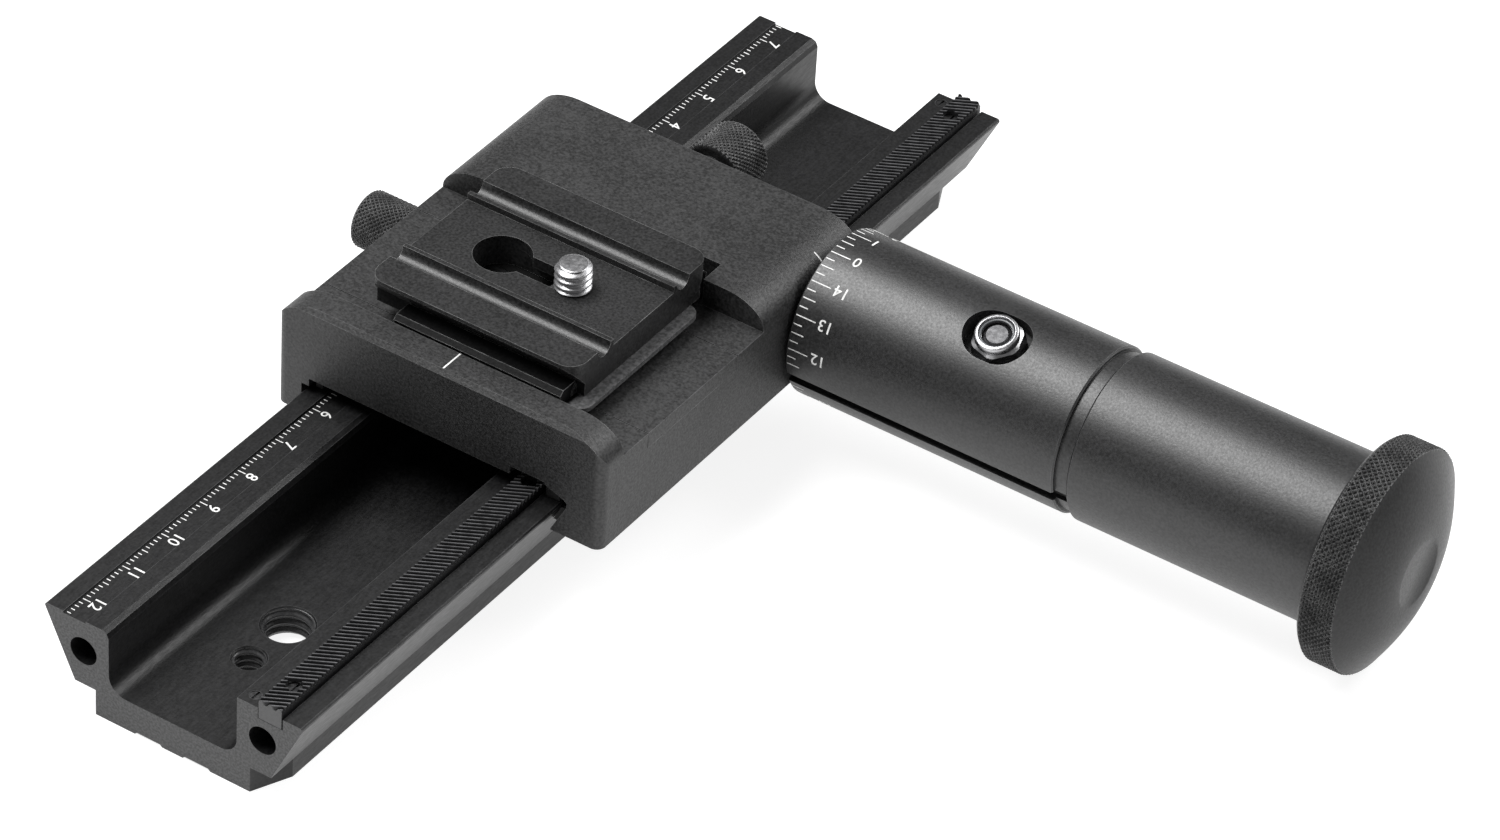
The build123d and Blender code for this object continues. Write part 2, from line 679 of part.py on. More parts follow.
with BuildPart() as fixed_jaw_screws:
    for x in (-5, 14):
        with BuildSketch(along_y(JAW_FRONT + 1.4)):
            with Locations((x, 30.9)):
                Circle(1.0)
        extrude(amount=1.2)
        with BuildSketch(along_y(JAW_FRONT + 1.4)):
            with Locations((x, 30.9)):
                Circle(0.7)
        extrude(amount=-5.4)
        with BuildSketch(along_y(JAW_FRONT + 0.2)):
            with Locations((x, 30.9)):
                RegularPolygon(0.5, 6)
        extrude(amount=-0.7, mode=Mode.SUBTRACT)
fixed_jaw_screws.part.label = "fixed_jaw_screws"
export_step(fixed_jaw_screws.part, "parts/fixed_jaw_screws.step")

# the moving jaw mirrors the fixed one, with a lug round the clamp screw
with BuildPart() as moving_jaw:
    with BuildSketch(along_x(JAW_LEFT)):
        with BuildLine():
            Polyline(
                (mirror_y(JAW_FRONT), TROUGH_FLOOR + GAP),
                (mirror_y(JAW_FRONT), FOOT_TOP - JAW_CHAMFER),
                (mirror_y(JAW_FRONT + JAW_CHAMFER), FOOT_TOP),
                (PLATE_Y + FOOT_HALF + GAP, FOOT_TOP),
                (PLATE_Y + FOOT_HALF + GAP, FOOT_TOP - 0.5),
                (PLATE_Y + FOOT_HALF + GAP + TONGUE, FOOT_TOP - 0.5 - TONGUE),
                (PLATE_Y + FOOT_HALF + GAP + TONGUE, TROUGH_FLOOR + GAP),
                close=True,
            )
        make_face()
    extrude(amount=JAW_RIGHT - JAW_LEFT)
    with Locations((CLAMP_X, 12.95, 26.3)):
        Box(8.9, mirror_y(JAW_FRONT) - 12.95, 6, align=(Align.CENTER, Align.MIN, Align.MIN))
    with BuildSketch(along_y(20)):
        with Locations((CLAMP_X, CLAMP_Z)):
            Circle(CLAMP_SCREW_RADIUS + RUN)
    extrude(amount=12, mode=Mode.SUBTRACT)
moving_jaw.part.label = "moving_jaw"
export_step(moving_jaw.part, "parts/moving_jaw.step")

with BuildPart() as clamp_screw:
    with BuildSketch(along_y(CLAMP_KNOB_BACK - 2)):
        with Locations((CLAMP_X, CLAMP_Z)):
            Circle(CLAMP_SCREW_RADIUS)
    extrude(amount=CLAMP_KNOB_BACK - 2 - 13.3)
clamp_screw.part.label = "clamp_screw"
export_step(clamp_screw.part, "parts/clamp_screw.step")

with BuildPart() as clamp_collar:
    with BuildSketch(along_y(CLAMP_KNOB_FRONT)):
        with Locations((CLAMP_X, CLAMP_Z)):
            Circle(3.7)
            Circle(CLAMP_SCREW_RADIUS, mode=Mode.SUBTRACT)
    extrude(amount=CLAMP_KNOB_FRONT - CAR_BACK - GAP)
clamp_collar.part.label = "clamp_collar"
export_step(clamp_collar.part, "parts/clamp_collar.step")

with BuildPart() as clamp_knob:
    with BuildSketch(along_y(CLAMP_KNOB_BACK)):
        with Locations((CLAMP_X, CLAMP_Z)):
            Circle(CLAMP_KNOB_RADIUS)
    extrude(amount=CLAMP_KNOB_BACK - CLAMP_KNOB_FRONT)
    chamfer(clamp_knob.edges().filter_by(GeomType.CIRCLE), 0.4)
    with BuildSketch(along_y(CLAMP_KNOB_BACK - 2)):
        with Locations((CLAMP_X, CLAMP_Z)):
            Circle(CLAMP_SCREW_RADIUS)
    extrude(amount=10, mode=Mode.SUBTRACT)
clamp_knob.part.label = "clamp_knob"
export_step(clamp_knob.part, "parts/clamp_knob.step")

# ==== Lock ===========================================================================================
with BuildPart() as lock_screw:
    with BuildSketch(along_x(LOCK_KNOB_END + 2)):
        with Locations((LOCK_Y, LOCK_Z)):
            Circle(LOCK_SCREW_RADIUS)
    extrude(amount=-28.3 - LOCK_KNOB_END - 2)
lock_screw.part.label = "lock_screw"
export_step(lock_screw.part, "parts/lock_screw.step")

with BuildPart() as lock_knob:
    with BuildSketch(along_x(LOCK_KNOB_END)):
        with Locations((LOCK_Y, LOCK_Z)):
            Circle(LOCK_KNOB_RADIUS)
    extrude(amount=LOCK_KNOB_RIGHT - LOCK_KNOB_END)
    chamfer(lock_knob.edges().filter_by(GeomType.CIRCLE), 0.4)
    with BuildSketch(along_x(LOCK_KNOB_END + 2)):
        with Locations((LOCK_Y, LOCK_Z)):
            Circle(LOCK_SCREW_RADIUS)
    extrude(amount=12, mode=Mode.SUBTRACT)
lock_knob.part.label = "lock_knob"
export_step(lock_knob.part, "parts/lock_knob.step")

with BuildPart() as brake_shoe:
    with BuildSketch(along_y(LOCK_Y + SHOE_HALF)):
        with BuildLine():
            Polyline(
                (-28.0, 14.1),
                (-flank(14.1) - SHOE_GAP, 14.1),
                (-RAIL_HALF - SHOE_GAP, FLANK_TOP),
                (-RAIL_HALF - SHOE_GAP, 19.0),
                (-28.0, 19.0),
                close=True,
            )
        make_face()
    extrude(amount=2 * SHOE_HALF)
brake_shoe.part.label = "brake_shoe"
export_step(brake_shoe.part, "parts/brake_shoe.step")

# ==== Drive ==========================================================================================
with BuildPart() as drive_shaft:
    with BuildSketch(DRIVE.offset(16.7)):
        Circle(PINION_BORE)
    extrude(amount=4.8)
    with BuildSketch(DRIVE.offset(21.5)):
        Circle(SHAFT_RADIUS)
    extrude(amount=84 - 21.5)
drive_shaft.part.label = "drive_shaft"
export_step(drive_shaft.part, "parts/drive_shaft.step")


def pinion_section(x):
    """Closed tooth outline at x: the teeth wind round the axis to follow the rack's slanted ones."""
    twist = (x - PINION_X) * tan(TOOTH_SLANT) / PITCH_RADIUS
    profile = (
        (PITCH_RADIUS - DEDENDUM, 0.098),
        (PITCH_RADIUS, TOOTH_HALF / PITCH_RADIUS),
        (PITCH_RADIUS + ADDENDUM - 0.02, 0.034),
    )
    points = []
    for tooth in range(TEETH):
        middle = -pi / 2 + twist + 2 * pi * tooth / TEETH
        for radius, half in profile:
            points.append((radius * cos(middle - half), radius * sin(middle - half)))
        for radius, half in reversed(profile):
            points.append((radius * cos(middle + half), radius * sin(middle + half)))
    return points


with BuildPart() as pinion:
    for step in range(PINION_SECTIONS + 1):
        x = PINION_X + PINION_WIDTH * (step / PINION_SECTIONS - 0.5)
        with BuildSketch(DRIVE.offset(x)):
            with BuildLine():
                Polyline(*pinion_section(x), close=True)
            make_face()
    loft(ruled=True)
    with BuildSketch(DRIVE.offset(PINION_X - PINION_WIDTH)):
        Circle(PINION_BORE)
    extrude(amount=2 * PINION_WIDTH, mode=Mode.SUBTRACT)
pinion.part.label = "pinion"
export_step(pinion.part, "parts/pinion.step")

with BuildPart() as retaining_ring:
    with BuildSketch(DRIVE.offset(26.5)):
        Circle(3.2)
        Circle(SHAFT_RADIUS, mode=Mode.SUBTRACT)
    extrude(amount=0.8)
retaining_ring.part.label = "retaining_ring"
export_step(retaining_ring.part, "parts/retaining_ring.step")

with BuildPart() as thrust_washer:
    with BuildSketch(DRIVE.offset(CAR_RIGHT + 0.1)):
        Circle(6.0)
        Circle(SHAFT_RADIUS, mode=Mode.SUBTRACT)
    extrude(amount=SLEEVE_LEFT + 1.0 - CAR_RIGHT - 0.1)
thrust_washer.part.label = "thrust_washer"
export_step(thrust_washer.part, "parts/thrust_washer.step")

# plastic core pressed on the shaft; the sleeve and the tube slip over it
with BuildPart() as drive_core:
    with BuildSketch(DRIVE.offset(CORE_LEFT)):
        Circle(SLEEVE_BORE)
        Circle(SHAFT_RADIUS, mode=Mode.SUBTRACT)
    extrude(amount=CORE_RIGHT - CORE_LEFT)
    with BuildSketch(DRIVE.offset(SLEEVE_LEFT + 1.0)):
        Circle(SLEEVE_BORE)
        Circle(SHAFT_RADIUS, mode=Mode.SUBTRACT)
    extrude(amount=3.0)
    with BuildSketch(DRIVE.offset(SLEEVE_LEFT + 4.0)):
        Circle(5.0)
        Circle(SHAFT_RADIUS, mode=Mode.SUBTRACT)
    extrude(amount=CORE_LEFT - SLEEVE_LEFT - 4.0)
    with BuildSketch(NUT_PLANE.offset(NUT_SEAT)):
        SlotCenterToCenter(NUT_POCKET_SLOT, 2 * NUT_POCKET_RADIUS)
    extrude(amount=10, mode=Mode.SUBTRACT)
    with BuildSketch(NUT_PLANE.offset(SHAFT_RADIUS)):
        Circle(2.5)
    extrude(amount=10, mode=Mode.SUBTRACT)
drive_core.part.label = "drive_core"
export_step(drive_core.part, "parts/drive_core.step")

with BuildPart() as dial_sleeve:
    with BuildSketch(DRIVE.offset(SLEEVE_LEFT)):
        Circle(SLEEVE_RADIUS)
    extrude(amount=SLEEVE_RIGHT - SLEEVE_LEFT)
    chamfer(dial_sleeve.edges().filter_by(GeomType.CIRCLE), 0.3)
    with BuildSketch(DRIVE.offset(SLEEVE_RIGHT)):
        Circle(RING_RADIUS)
    extrude(amount=RING_RIGHT - SLEEVE_RIGHT)
    with BuildSketch(DRIVE.offset(SLEEVE_LEFT + 1.0)):
        Circle(SLEEVE_BORE)
    extrude(amount=RING_RIGHT - SLEEVE_LEFT, mode=Mode.SUBTRACT)
    with BuildSketch(DRIVE.offset(SLEEVE_LEFT - 1.0)):
        Circle(6.3)
    extrude(amount=3, mode=Mode.SUBTRACT)
    # clamping slit along the whole sleeve
    with BuildSketch(
        Plane(
            origin=(SLEEVE_LEFT - 1, DRIVE_Y, DRIVE_Z),
            x_dir=(0, cos(SLIT_ANGLE), sin(SLIT_ANGLE)),
            z_dir=(1, 0, 0),
        )
    ):
        with Locations((7.0, 0)):
            Rectangle(20, SLIT_WIDTH, align=(Align.MIN, Align.CENTER))
    extrude(amount=RING_RIGHT - SLEEVE_LEFT + 2, mode=Mode.SUBTRACT)
    with BuildSketch(NUT_PLANE.offset(6)):
        SlotCenterToCenter(NUT_POCKET_SLOT, 2 * NUT_POCKET_RADIUS)
    extrude(amount=12, mode=Mode.SUBTRACT)
dial_sleeve.part.label = "dial_sleeve"
export_step(dial_sleeve.part, "parts/dial_sleeve.step")

with BuildPart() as clamp_stud:
    with BuildSketch(NUT_PLANE.offset(SHAFT_RADIUS + 0.3)):
        Circle(2.5)
    extrude(amount=12.6)
    chamfer(clamp_stud.edges().group_by(Axis((0, 0, 0), NUT_PLANE.z_dir))[-1], 0.7)
clamp_stud.part.label = "clamp_stud"
export_step(clamp_stud.part, "parts/clamp_stud.step")

with BuildPart() as clamp_nut:
    with BuildSketch(NUT_PLANE.offset(NUT_SEAT)):
        RegularPolygon(NUT_FLATS / sqrt(3), 6, rotation=-15)
    extrude(amount=3.6)
    with BuildSketch(NUT_PLANE.offset(NUT_SEAT + 3.6)):
        Circle(3.5)
    extrude(amount=0.9)
    with BuildSketch(NUT_PLANE.offset(NUT_SEAT)):
        Circle(2.5)
    extrude(amount=5, mode=Mode.SUBTRACT)
clamp_nut.part.label = "clamp_nut"
export_step(clamp_nut.part, "parts/clamp_nut.step")

with BuildPart() as handle_tube:
    with BuildSketch(DRIVE.offset(RING_RIGHT)):
        Circle(TUBE_RADIUS)
    extrude(amount=TUBE_RIGHT - RING_RIGHT)
    chamfer(handle_tube.edges().filter_by(GeomType.CIRCLE), 0.4)
    with BuildSketch(DRIVE.offset(RING_RIGHT)):
        Circle(SLEEVE_BORE)
    extrude(amount=TUBE_RIGHT - RING_RIGHT, mode=Mode.SUBTRACT)
handle_tube.part.label = "handle_tube"
export_step(handle_tube.part, "parts/handle_tube.step")

with BuildPart() as end_knob:
    with BuildSketch(Plane(origin=(0, DRIVE_Y, DRIVE_Z), x_dir=(1, 0, 0), z_dir=(0, -1, 0))):
        with BuildLine():
            Polyline(
                (KNOB_FACE - 1.0, 0),
                (124.0, 0),
                (124.0, 6.0),
                (124.0, SLEEVE_BORE),
                (KNOB_LEFT - 0.4, SLEEVE_BORE),
                (KNOB_LEFT - 0.4, 15.2),
                (KNOB_LEFT, 15.2),
                (KNOB_LEFT, KNOB_RADIUS - 0.5),
                (KNOB_LEFT + 0.5, KNOB_RADIUS),
                (KNOB_RIM_RIGHT - 0.4, KNOB_RADIUS),
                (KNOB_RIM_RIGHT, KNOB_RADIUS - 0.4),
            )
            ThreePointArc(
                (KNOB_RIM_RIGHT, KNOB_RADIUS - 0.4),
                (KNOB_FACE - 1.3, 13.2),
                (KNOB_FACE, CAP_RADIUS),
            )
            Polyline((KNOB_FACE, CAP_RADIUS), (KNOB_FACE - 1.0, CAP_RADIUS), (KNOB_FACE - 1.0, 0))
        make_face()
    revolve(axis=Axis((0, DRIVE_Y, DRIVE_Z), (1, 0, 0)))
    with BuildSketch(DRIVE.offset(124)):
        Circle(10.5)
    extrude(amount=16, mode=Mode.SUBTRACT)
end_knob.part.label = "end_knob"
export_step(end_knob.part, "parts/end_knob.step")

with BuildPart() as knob_cap:
    with BuildSketch(DRIVE.offset(KNOB_FACE - 1.0)):
        Circle(CAP_RADIUS - 0.1)
    extrude(amount=0.8)
knob_cap.part.label = "knob_cap"
export_step(knob_cap.part, "parts/knob_cap.step")

# ==== Plate and camera screw =========================================================================
with BuildPart() as qr_plate:
    with BuildSketch(along_x(PLATE_LEFT)):
        with BuildLine():
            Polyline(
                (PLATE_Y - GROOVE_OUTER, PLATE_TOP),
                (PLATE_Y - PLATE_HALF, PLATE_TOP),
                (PLATE_Y - PLATE_HALF, PLATE_TOP - LIP),
                (PLATE_Y - FOOT_HALF, FOOT_TOP),
                (PLATE_Y - FOOT_HALF, PLATE_BOTTOM),
                (PLATE_Y + FOOT_HALF, PLATE_BOTTOM),
                (PLATE_Y + FOOT_HALF, FOOT_TOP),
                (PLATE_Y + PLATE_HALF, PLATE_TOP - LIP),
                (PLATE_Y + PLATE_HALF, PLATE_TOP),
                (PLATE_Y + GROOVE_OUTER, PLATE_TOP),
            )
            ThreePointArc(
                (PLATE_Y + GROOVE_OUTER, PLATE_TOP),
                (PLATE_Y + (GROOVE_OUTER + GROOVE_INNER) / 2, PLATE_TOP - GROOVE_DEPTH + 0.02),
                (PLATE_Y + GROOVE_INNER, PLATE_TOP),
            )
            Polyline(
                (PLATE_Y + GROOVE_INNER, PLATE_TOP),
                (PLATE_Y + RECESS_HALF, PLATE_TOP),
                (PLATE_Y + RECESS_HALF, RECESS_FLOOR),
                (PLATE_Y - RECESS_HALF, RECESS_FLOOR),
                (PLATE_Y - RECESS_HALF, PLATE_TOP),
                (PLATE_Y - GROOVE_INNER, PLATE_TOP),
            )
            ThreePointArc(
                (PLATE_Y - GROOVE_INNER, PLATE_TOP),
                (PLATE_Y - (GROOVE_OUTER + GROOVE_INNER) / 2, PLATE_TOP - GROOVE_DEPTH + 0.02),
                (PLATE_Y - GROOVE_OUTER, PLATE_TOP),
            )
        make_face()
    extrude(amount=PLATE_RIGHT - PLATE_LEFT)
    with BuildSketch(Plane.XY.offset(PLATE_BOTTOM)):
        with Locations(((PLATE_LEFT + PLATE_RIGHT) / 2, PLATE_Y)):
            RectangleRounded(PLATE_RIGHT - PLATE_LEFT, 2 * PLATE_HALF, PLATE_CORNER)
    extrude(amount=PLATE_TOP - PLATE_BOTTOM, mode=Mode.INTERSECT)
    # dovetail tongues that the jaws close over
    with BuildSketch(along_x(JAW_LEFT)):
        for side in (-1, 1):
            with BuildLine():
                Polyline(
                    (PLATE_Y + side * (FOOT_HALF - 1), FOOT_TOP - 0.8),
                    (PLATE_Y + side * FOOT_HALF, FOOT_TOP - 0.8),
                    (PLATE_Y + side * (FOOT_HALF + TONGUE), FOOT_TOP - 0.8 - TONGUE),
                    (PLATE_Y + side * (FOOT_HALF + TONGUE), PLATE_BOTTOM),
                    (PLATE_Y + side * (FOOT_HALF - 1), PLATE_BOTTOM),
                    close=True,
                )
            make_face()
    extrude(amount=JAW_RIGHT - JAW_LEFT)
    # keyhole for the camera screw, wider below for the screw's head
    with BuildSketch(Plane.XY.offset(PLATE_BOTTOM)):
        with Locations(((KEYHOLE_X + SCREW_X) / 2, PLATE_Y)):
            SlotCenterToCenter(SCREW_X - KEYHOLE_X, 2 * KEYHOLE_RADIUS)
    extrude(amount=SCREW_HEAD_ROOF - PLATE_BOTTOM, mode=Mode.SUBTRACT)
    with BuildSketch(Plane.XY.offset(PLATE_BOTTOM)):
        with Locations(((KEYHOLE_X + SCREW_X) / 2, PLATE_Y)):
            SlotCenterToCenter(SCREW_X - KEYHOLE_X, SLOT_WIDTH)
        with Locations((KEYHOLE_X, PLATE_Y)):
            Circle(KEYHOLE_RADIUS)
    extrude(amount=PLATE_TOP - PLATE_BOTTOM, mode=Mode.SUBTRACT)
qr_plate.part.label = "qr_plate"
export_step(qr_plate.part, "parts/qr_plate.step")

with BuildPart() as camera_screw:
    with Locations((SCREW_X, PLATE_Y, 33.3)):
        Cylinder(4.6, 1.9, align=(Align.CENTER, Align.CENTER, Align.MIN))
        Cylinder(SCREW_NECK_RADIUS, 6, align=(Align.CENTER, Align.CENTER, Align.MIN))
        Box(12, 1.2, 1.0, align=(Align.CENTER, Align.CENTER, Align.MIN), mode=Mode.SUBTRACT)
    with Locations((SCREW_X, PLATE_Y, RECESS_FLOOR + GAP)):
        Cylinder(
            SCREW_THREAD_RADIUS,
            SCREW_TOP - 0.6 - RECESS_FLOOR - GAP,
            align=(Align.CENTER, Align.CENTER, Align.MIN),
        )
    with Locations((SCREW_X, PLATE_Y, SCREW_TOP - 0.6)):
        Cone(
            SCREW_THREAD_RADIUS,
            SCREW_THREAD_RADIUS - 0.6,
            0.6,
            align=(Align.CENTER, Align.CENTER, Align.MIN),
        )
camera_screw.part.label = "camera_screw"
export_step(camera_screw.part, "parts/camera_screw.step")

with BuildPart() as screw_washer:
    with BuildSketch(Plane.XY.offset(SCREW_HEAD_ROOF - 1.0)):
        with Locations((SCREW_X, PLATE_Y)):
            Circle(4.6)
            Circle(SCREW_NECK_RADIUS + RUN, mode=Mode.SUBTRACT)
    extrude(amount=0.7)
screw_washer.part.label = "screw_washer"
export_step(screw_washer.part, "parts/screw_washer.step")
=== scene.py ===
"""Looks of the macro focusing slider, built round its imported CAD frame.

Lengths are in millimetres until MM turns them into metres. Lights and the camera are placed in metres.
"""

import math

import bmesh
import bpy
from mathutils import Matrix, Vector


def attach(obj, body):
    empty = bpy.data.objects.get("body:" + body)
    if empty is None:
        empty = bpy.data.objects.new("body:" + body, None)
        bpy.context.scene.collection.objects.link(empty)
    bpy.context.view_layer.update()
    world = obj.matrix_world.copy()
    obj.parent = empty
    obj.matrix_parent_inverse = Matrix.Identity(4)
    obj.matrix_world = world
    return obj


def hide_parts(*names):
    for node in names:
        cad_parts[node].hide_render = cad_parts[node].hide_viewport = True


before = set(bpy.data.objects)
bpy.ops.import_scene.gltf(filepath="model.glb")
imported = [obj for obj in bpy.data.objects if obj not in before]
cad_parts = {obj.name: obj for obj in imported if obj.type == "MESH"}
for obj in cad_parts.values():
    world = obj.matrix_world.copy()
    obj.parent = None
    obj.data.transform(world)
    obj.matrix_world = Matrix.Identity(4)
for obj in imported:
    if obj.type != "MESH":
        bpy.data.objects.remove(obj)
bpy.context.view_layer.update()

MM = 0.001
RIGHT = (1, 0, 0)
UP = (0, 0, 1)
BACK = (0, 1, 0)

# ---- Places shared with the CAD frame ---------------------------------------------------------------
RAIL_END_Y = 100.0
RACK_TIP_Z = 19.72
LEDGE_X = 21.5  # where the clamp base's bare ledge starts
SCALE_ZERO_Y = 24.6
SCALE_FLOOR = 17.6
SCALE_START_X = -21.1
DRIVE_Y = 33.57
DRIVE_Z = 21.82
DIAL_RADIUS = 14.7
DIAL_START_X = 34.95
NUT_X = 68.1
NUT_SEAT = 10.7
DIAL_ZERO_DEG = 102.4
DIAL_STEP_DEG = 24.0
DIAL_GAP_DEG = (189.0, 207.0)  # the sleeve's slit
PLATE_Y = -5.65
SCREW_X = 8.6
CLAMP_X = 2.95
CLAMP_Z = 29.6
LOCK_Y = 11.75
LOCK_Z = 17.2
NUT_TILT_DEG = 109.0
FRONT_TOP_Z = 35.0
SHOULDER_X = 25.9  # the carriage's rounded shoulder: where it starts, and its run, height and rise
SHOULDER_RUN = 8.0
SHOULDER_Z = 30.0
SHOULDER_RISE = 5.0

# ---- Threads, knurls and print ----------------------------------------------------------------------
QUARTER_PITCH = 1.27  # quarter-inch thread
QUARTER_HOLE_Y = -80.2
QUARTER_HOLE_RADIUS = 2.762
THREE_EIGHTHS_PITCH = 1.5875  # three-eighths thread
THREE_EIGHTHS_HOLE_Y = -70.0
THREE_EIGHTHS_HOLE_RADIUS = 4.366
PAINT = 0.03  # thickness of printed paint
PRINT_GAP = 0.001  # between paint and the face under it
SCALE_FIRST = -124  # rail scale's first and last marks, in millimetres from its zero
SCALE_LAST = 75
DIAL_NUMBERS = 15
MARKS_PER_NUMBER = 4


# ---- Materials --------------------------------------------------------------------------------------
class Nodes:
    """Small helper that adds and links shader nodes in one material."""

    def __init__(self, name):
        self.material = bpy.data.materials.new(name)
        self.material.use_nodes = True
        self.tree = self.material.node_tree
        self.shader = self.tree.nodes["Principled BSDF"]
        self.coords = self.add("ShaderNodeTexCoord").outputs["Object"]

    def add(self, kind, **settings):
        node = self.tree.nodes.new(kind)
        for key, value in settings.items():
            setattr(node, key, value)
        return node

    def link(self, source, target):
        self.tree.links.new(source, target)

    def noise(self, scale, detail=3.0, stretch=(1, 1, 1)):
        """Noise over the object's own coordinates, stretched along its axes."""
        mapping = self.add("ShaderNodeMapping")
        mapping.inputs["Scale"].default_value = stretch
        self.link(self.coords, mapping.inputs["Vector"])
        noise = self.add("ShaderNodeTexNoise")
        noise.inputs["Scale"].default_value = scale
        noise.inputs["Detail"].default_value = detail
        self.link(mapping.outputs["Vector"], noise.inputs["Vector"])
        return noise.outputs["Fac"]

    def span(self, value, low, high, to_low, to_high):
        """value mapped from low..high to to_low..to_high, clamped."""
        node = self.add("ShaderNodeMapRange")
        node.inputs["From Min"].default_value = low
        node.inputs["From Max"].default_value = high
        node.inputs["To Min"].default_value = to_low
        node.inputs["To Max"].default_value = to_high
        self.link(value, node.inputs["Value"])
        return node.outputs["Result"]

    def math(self, operation, a, b):
        node = self.add("ShaderNodeMath", operation=operation)
        for socket, value in zip(node.inputs, (a, b)):
            if isinstance(value, (int, float)):
                socket.default_value = value
            else:
                self.link(value, socket)
        return node.outputs["Value"]

    def mix(self, factor, a, b):
        """Colour between a and b; each is a colour or a socket."""
        node = self.add("ShaderNodeMix", data_type="RGBA")
        self.link(factor, node.inputs["Factor"])
        for socket, value in ((node.inputs[6], a), (node.inputs[7], b)):
            if isinstance(value, tuple):
                socket.default_value = (*value, 1.0)
            else:
                self.link(value, socket)
        return node.outputs[2]

    def axis(self, name):
        """X, Y or Z of the object's coordinates, in metres."""
        split = self.add("ShaderNodeSeparateXYZ")
        self.link(self.coords, split.inputs["Vector"])
        return split.outputs[name]

    def edges(self, radius):
        """1 at the piece's sharp edges and 0 on its open faces."""
        bevel = self.add("ShaderNodeBevel", samples=4)
        bevel.inputs["Radius"].default_value = radius * MM
        geometry = self.add("ShaderNodeNewGeometry")
        dot = self.add("ShaderNodeVectorMath", operation="DOT_PRODUCT")
        self.link(bevel.outputs["Normal"], dot.inputs[0])
        self.link(geometry.outputs["Normal"], dot.inputs[1])
        return self.span(dot.outputs["Value"], 0.93, 0.995, 1.0, 0.0)

    def bump(self, height, distance):
        """Surface relief from height, distance millimetres deep."""
        node = self.add("ShaderNodeBump")
        node.inputs["Distance"].default_value = distance * MM
        self.link(height, node.inputs["Height"])
        self.link(node.outputs["Normal"], self.shader.inputs["Normal"])


def black_metal(name, low, high, rough, grain, edge_wear_and_highlight, edge_radius=0.16, streak=(1, 1, 1), spec=0.5):
    """Black anodised aluminium: blasted grain, faint clouding, and paler edges that are partly wear and
    partly a painted highlight along the chamfers.
    """
    n = Nodes(name)
    cloud = n.noise(60.0, 4.0)
    fine = n.noise(2600.0, 2.0, streak)
    specks = n.math("MULTIPLY", n.noise(2100.0, 1.0), 0.7)
    speckle = n.math("ADD", n.math("MULTIPLY", cloud, 0.3), specks)
    base = n.mix(n.span(speckle, 0.36, 0.64, 0.0, 1.0), low, high)
    patchy = n.span(n.noise(240.0, 5.0), 0.35, 0.62, 0.25, 1.0)
    # pale edges: real wear plus a painted highlight standing in for light caught on the chamfers
    edge = n.math("MULTIPLY", n.edges(edge_radius), patchy)
    n.link(n.mix(edge, base, edge_wear_and_highlight), n.shader.inputs["Base Color"])
    grained = n.span(fine, 0.25, 0.75, rough - 0.07, rough + 0.07)
    n.link(n.math("SUBTRACT", grained, n.math("MULTIPLY", edge, 0.12)), n.shader.inputs["Roughness"])
    n.shader.inputs["Specular IOR Level"].default_value = spec
    n.bump(fine, grain)
    return n


def bright_metal(name, colour, rough, grain):
    """Bare or plated metal with fine tool marks and slight tarnish."""
    n = Nodes(name)
    n.shader.inputs["Metallic"].default_value = 1.0
    cloud = n.noise(180.0, 4.0)
    fine = n.noise(1500.0)
    dull = tuple(0.72 * c for c in colour)
    tarnish = n.mix(n.span(cloud, 0.35, 0.7, 0.0, 1.0), colour, dull)
    n.link(tarnish, n.shader.inputs["Base Color"])
    n.link(n.span(fine, 0.25, 0.75, rough * 0.75, rough * 1.3), n.shader.inputs["Roughness"])
    n.bump(fine, grain)
    return n


def rail_metal():
    """The rail's satin extrusion: lengthwise draw lines, and bare sawn end faces."""
    n = black_metal(
        "rail_anodised",
        low=(0.002, 0.002, 0.0021),
        high=(0.010, 0.010, 0.0105),
        rough=0.42,
        grain=0.03,
        # pale edge colour on the rail: partly wear, partly a painted highlight on the chamfers
        edge_wear_and_highlight=(0.09, 0.09, 0.092),
        edge_radius=0.2,
        streak=(1.0, 0.2, 1.0),
        spec=0.4,
    )
    from_middle = n.math("ABSOLUTE", n.axis("Y"), 0)
    ends = n.span(from_middle, (RAIL_END_Y - 0.07) * MM, (RAIL_END_Y - 0.01) * MM, 0.0, 1.0)
    anodised = n.shader.inputs["Base Color"].links[0].from_socket
    grit = n.span(n.noise(2300.0, 1.0), 0.36, 0.64, 0.0, 1.0)
    sawn = n.mix(grit, (0.03, 0.03, 0.0305), (0.07, 0.07, 0.071))
    n.link(n.mix(ends, anodised, sawn), n.shader.inputs["Base Color"])
    return n.material


def rack_metal():
    """Milled rack: nearly black in its spaces, with bare polished tooth tips."""
    n = Nodes("rack_steel")
    tip = n.span(n.axis("Z"), (RACK_TIP_Z - 0.2) * MM, RACK_TIP_Z * MM, 0.0, 1.0)
    worn = n.math("MULTIPLY", tip, n.span(n.noise(700.0, 4.0), 0.3, 0.6, 0.35, 1.0))
    clouding = n.span(n.noise(90.0), 0.3, 0.7, 0.0, 1.0)
    cloud = n.mix(clouding, (0.012, 0.012, 0.013), (0.022, 0.022, 0.023))
    from_middle = n.math("ABSOLUTE", n.axis("Y"), 0)
    ends = n.span(from_middle, (RAIL_END_Y - 0.2) * MM, (RAIL_END_Y - 0.1) * MM, 0.0, 1.0)
    toothed = n.mix(worn, cloud, (0.15, 0.15, 0.155))
    n.link(n.mix(ends, toothed, (0.07, 0.07, 0.071)), n.shader.inputs["Base Color"])
    n.shader.inputs["Metallic"].default_value = 0.35
    n.link(n.span(n.noise(1800.0), 0.3, 0.7, 0.3, 0.48), n.shader.inputs["Roughness"])
    n.bump(n.noise(2200.0, 2.0, (0.1, 1.0, 1.0)), 0.004)
    return n.material


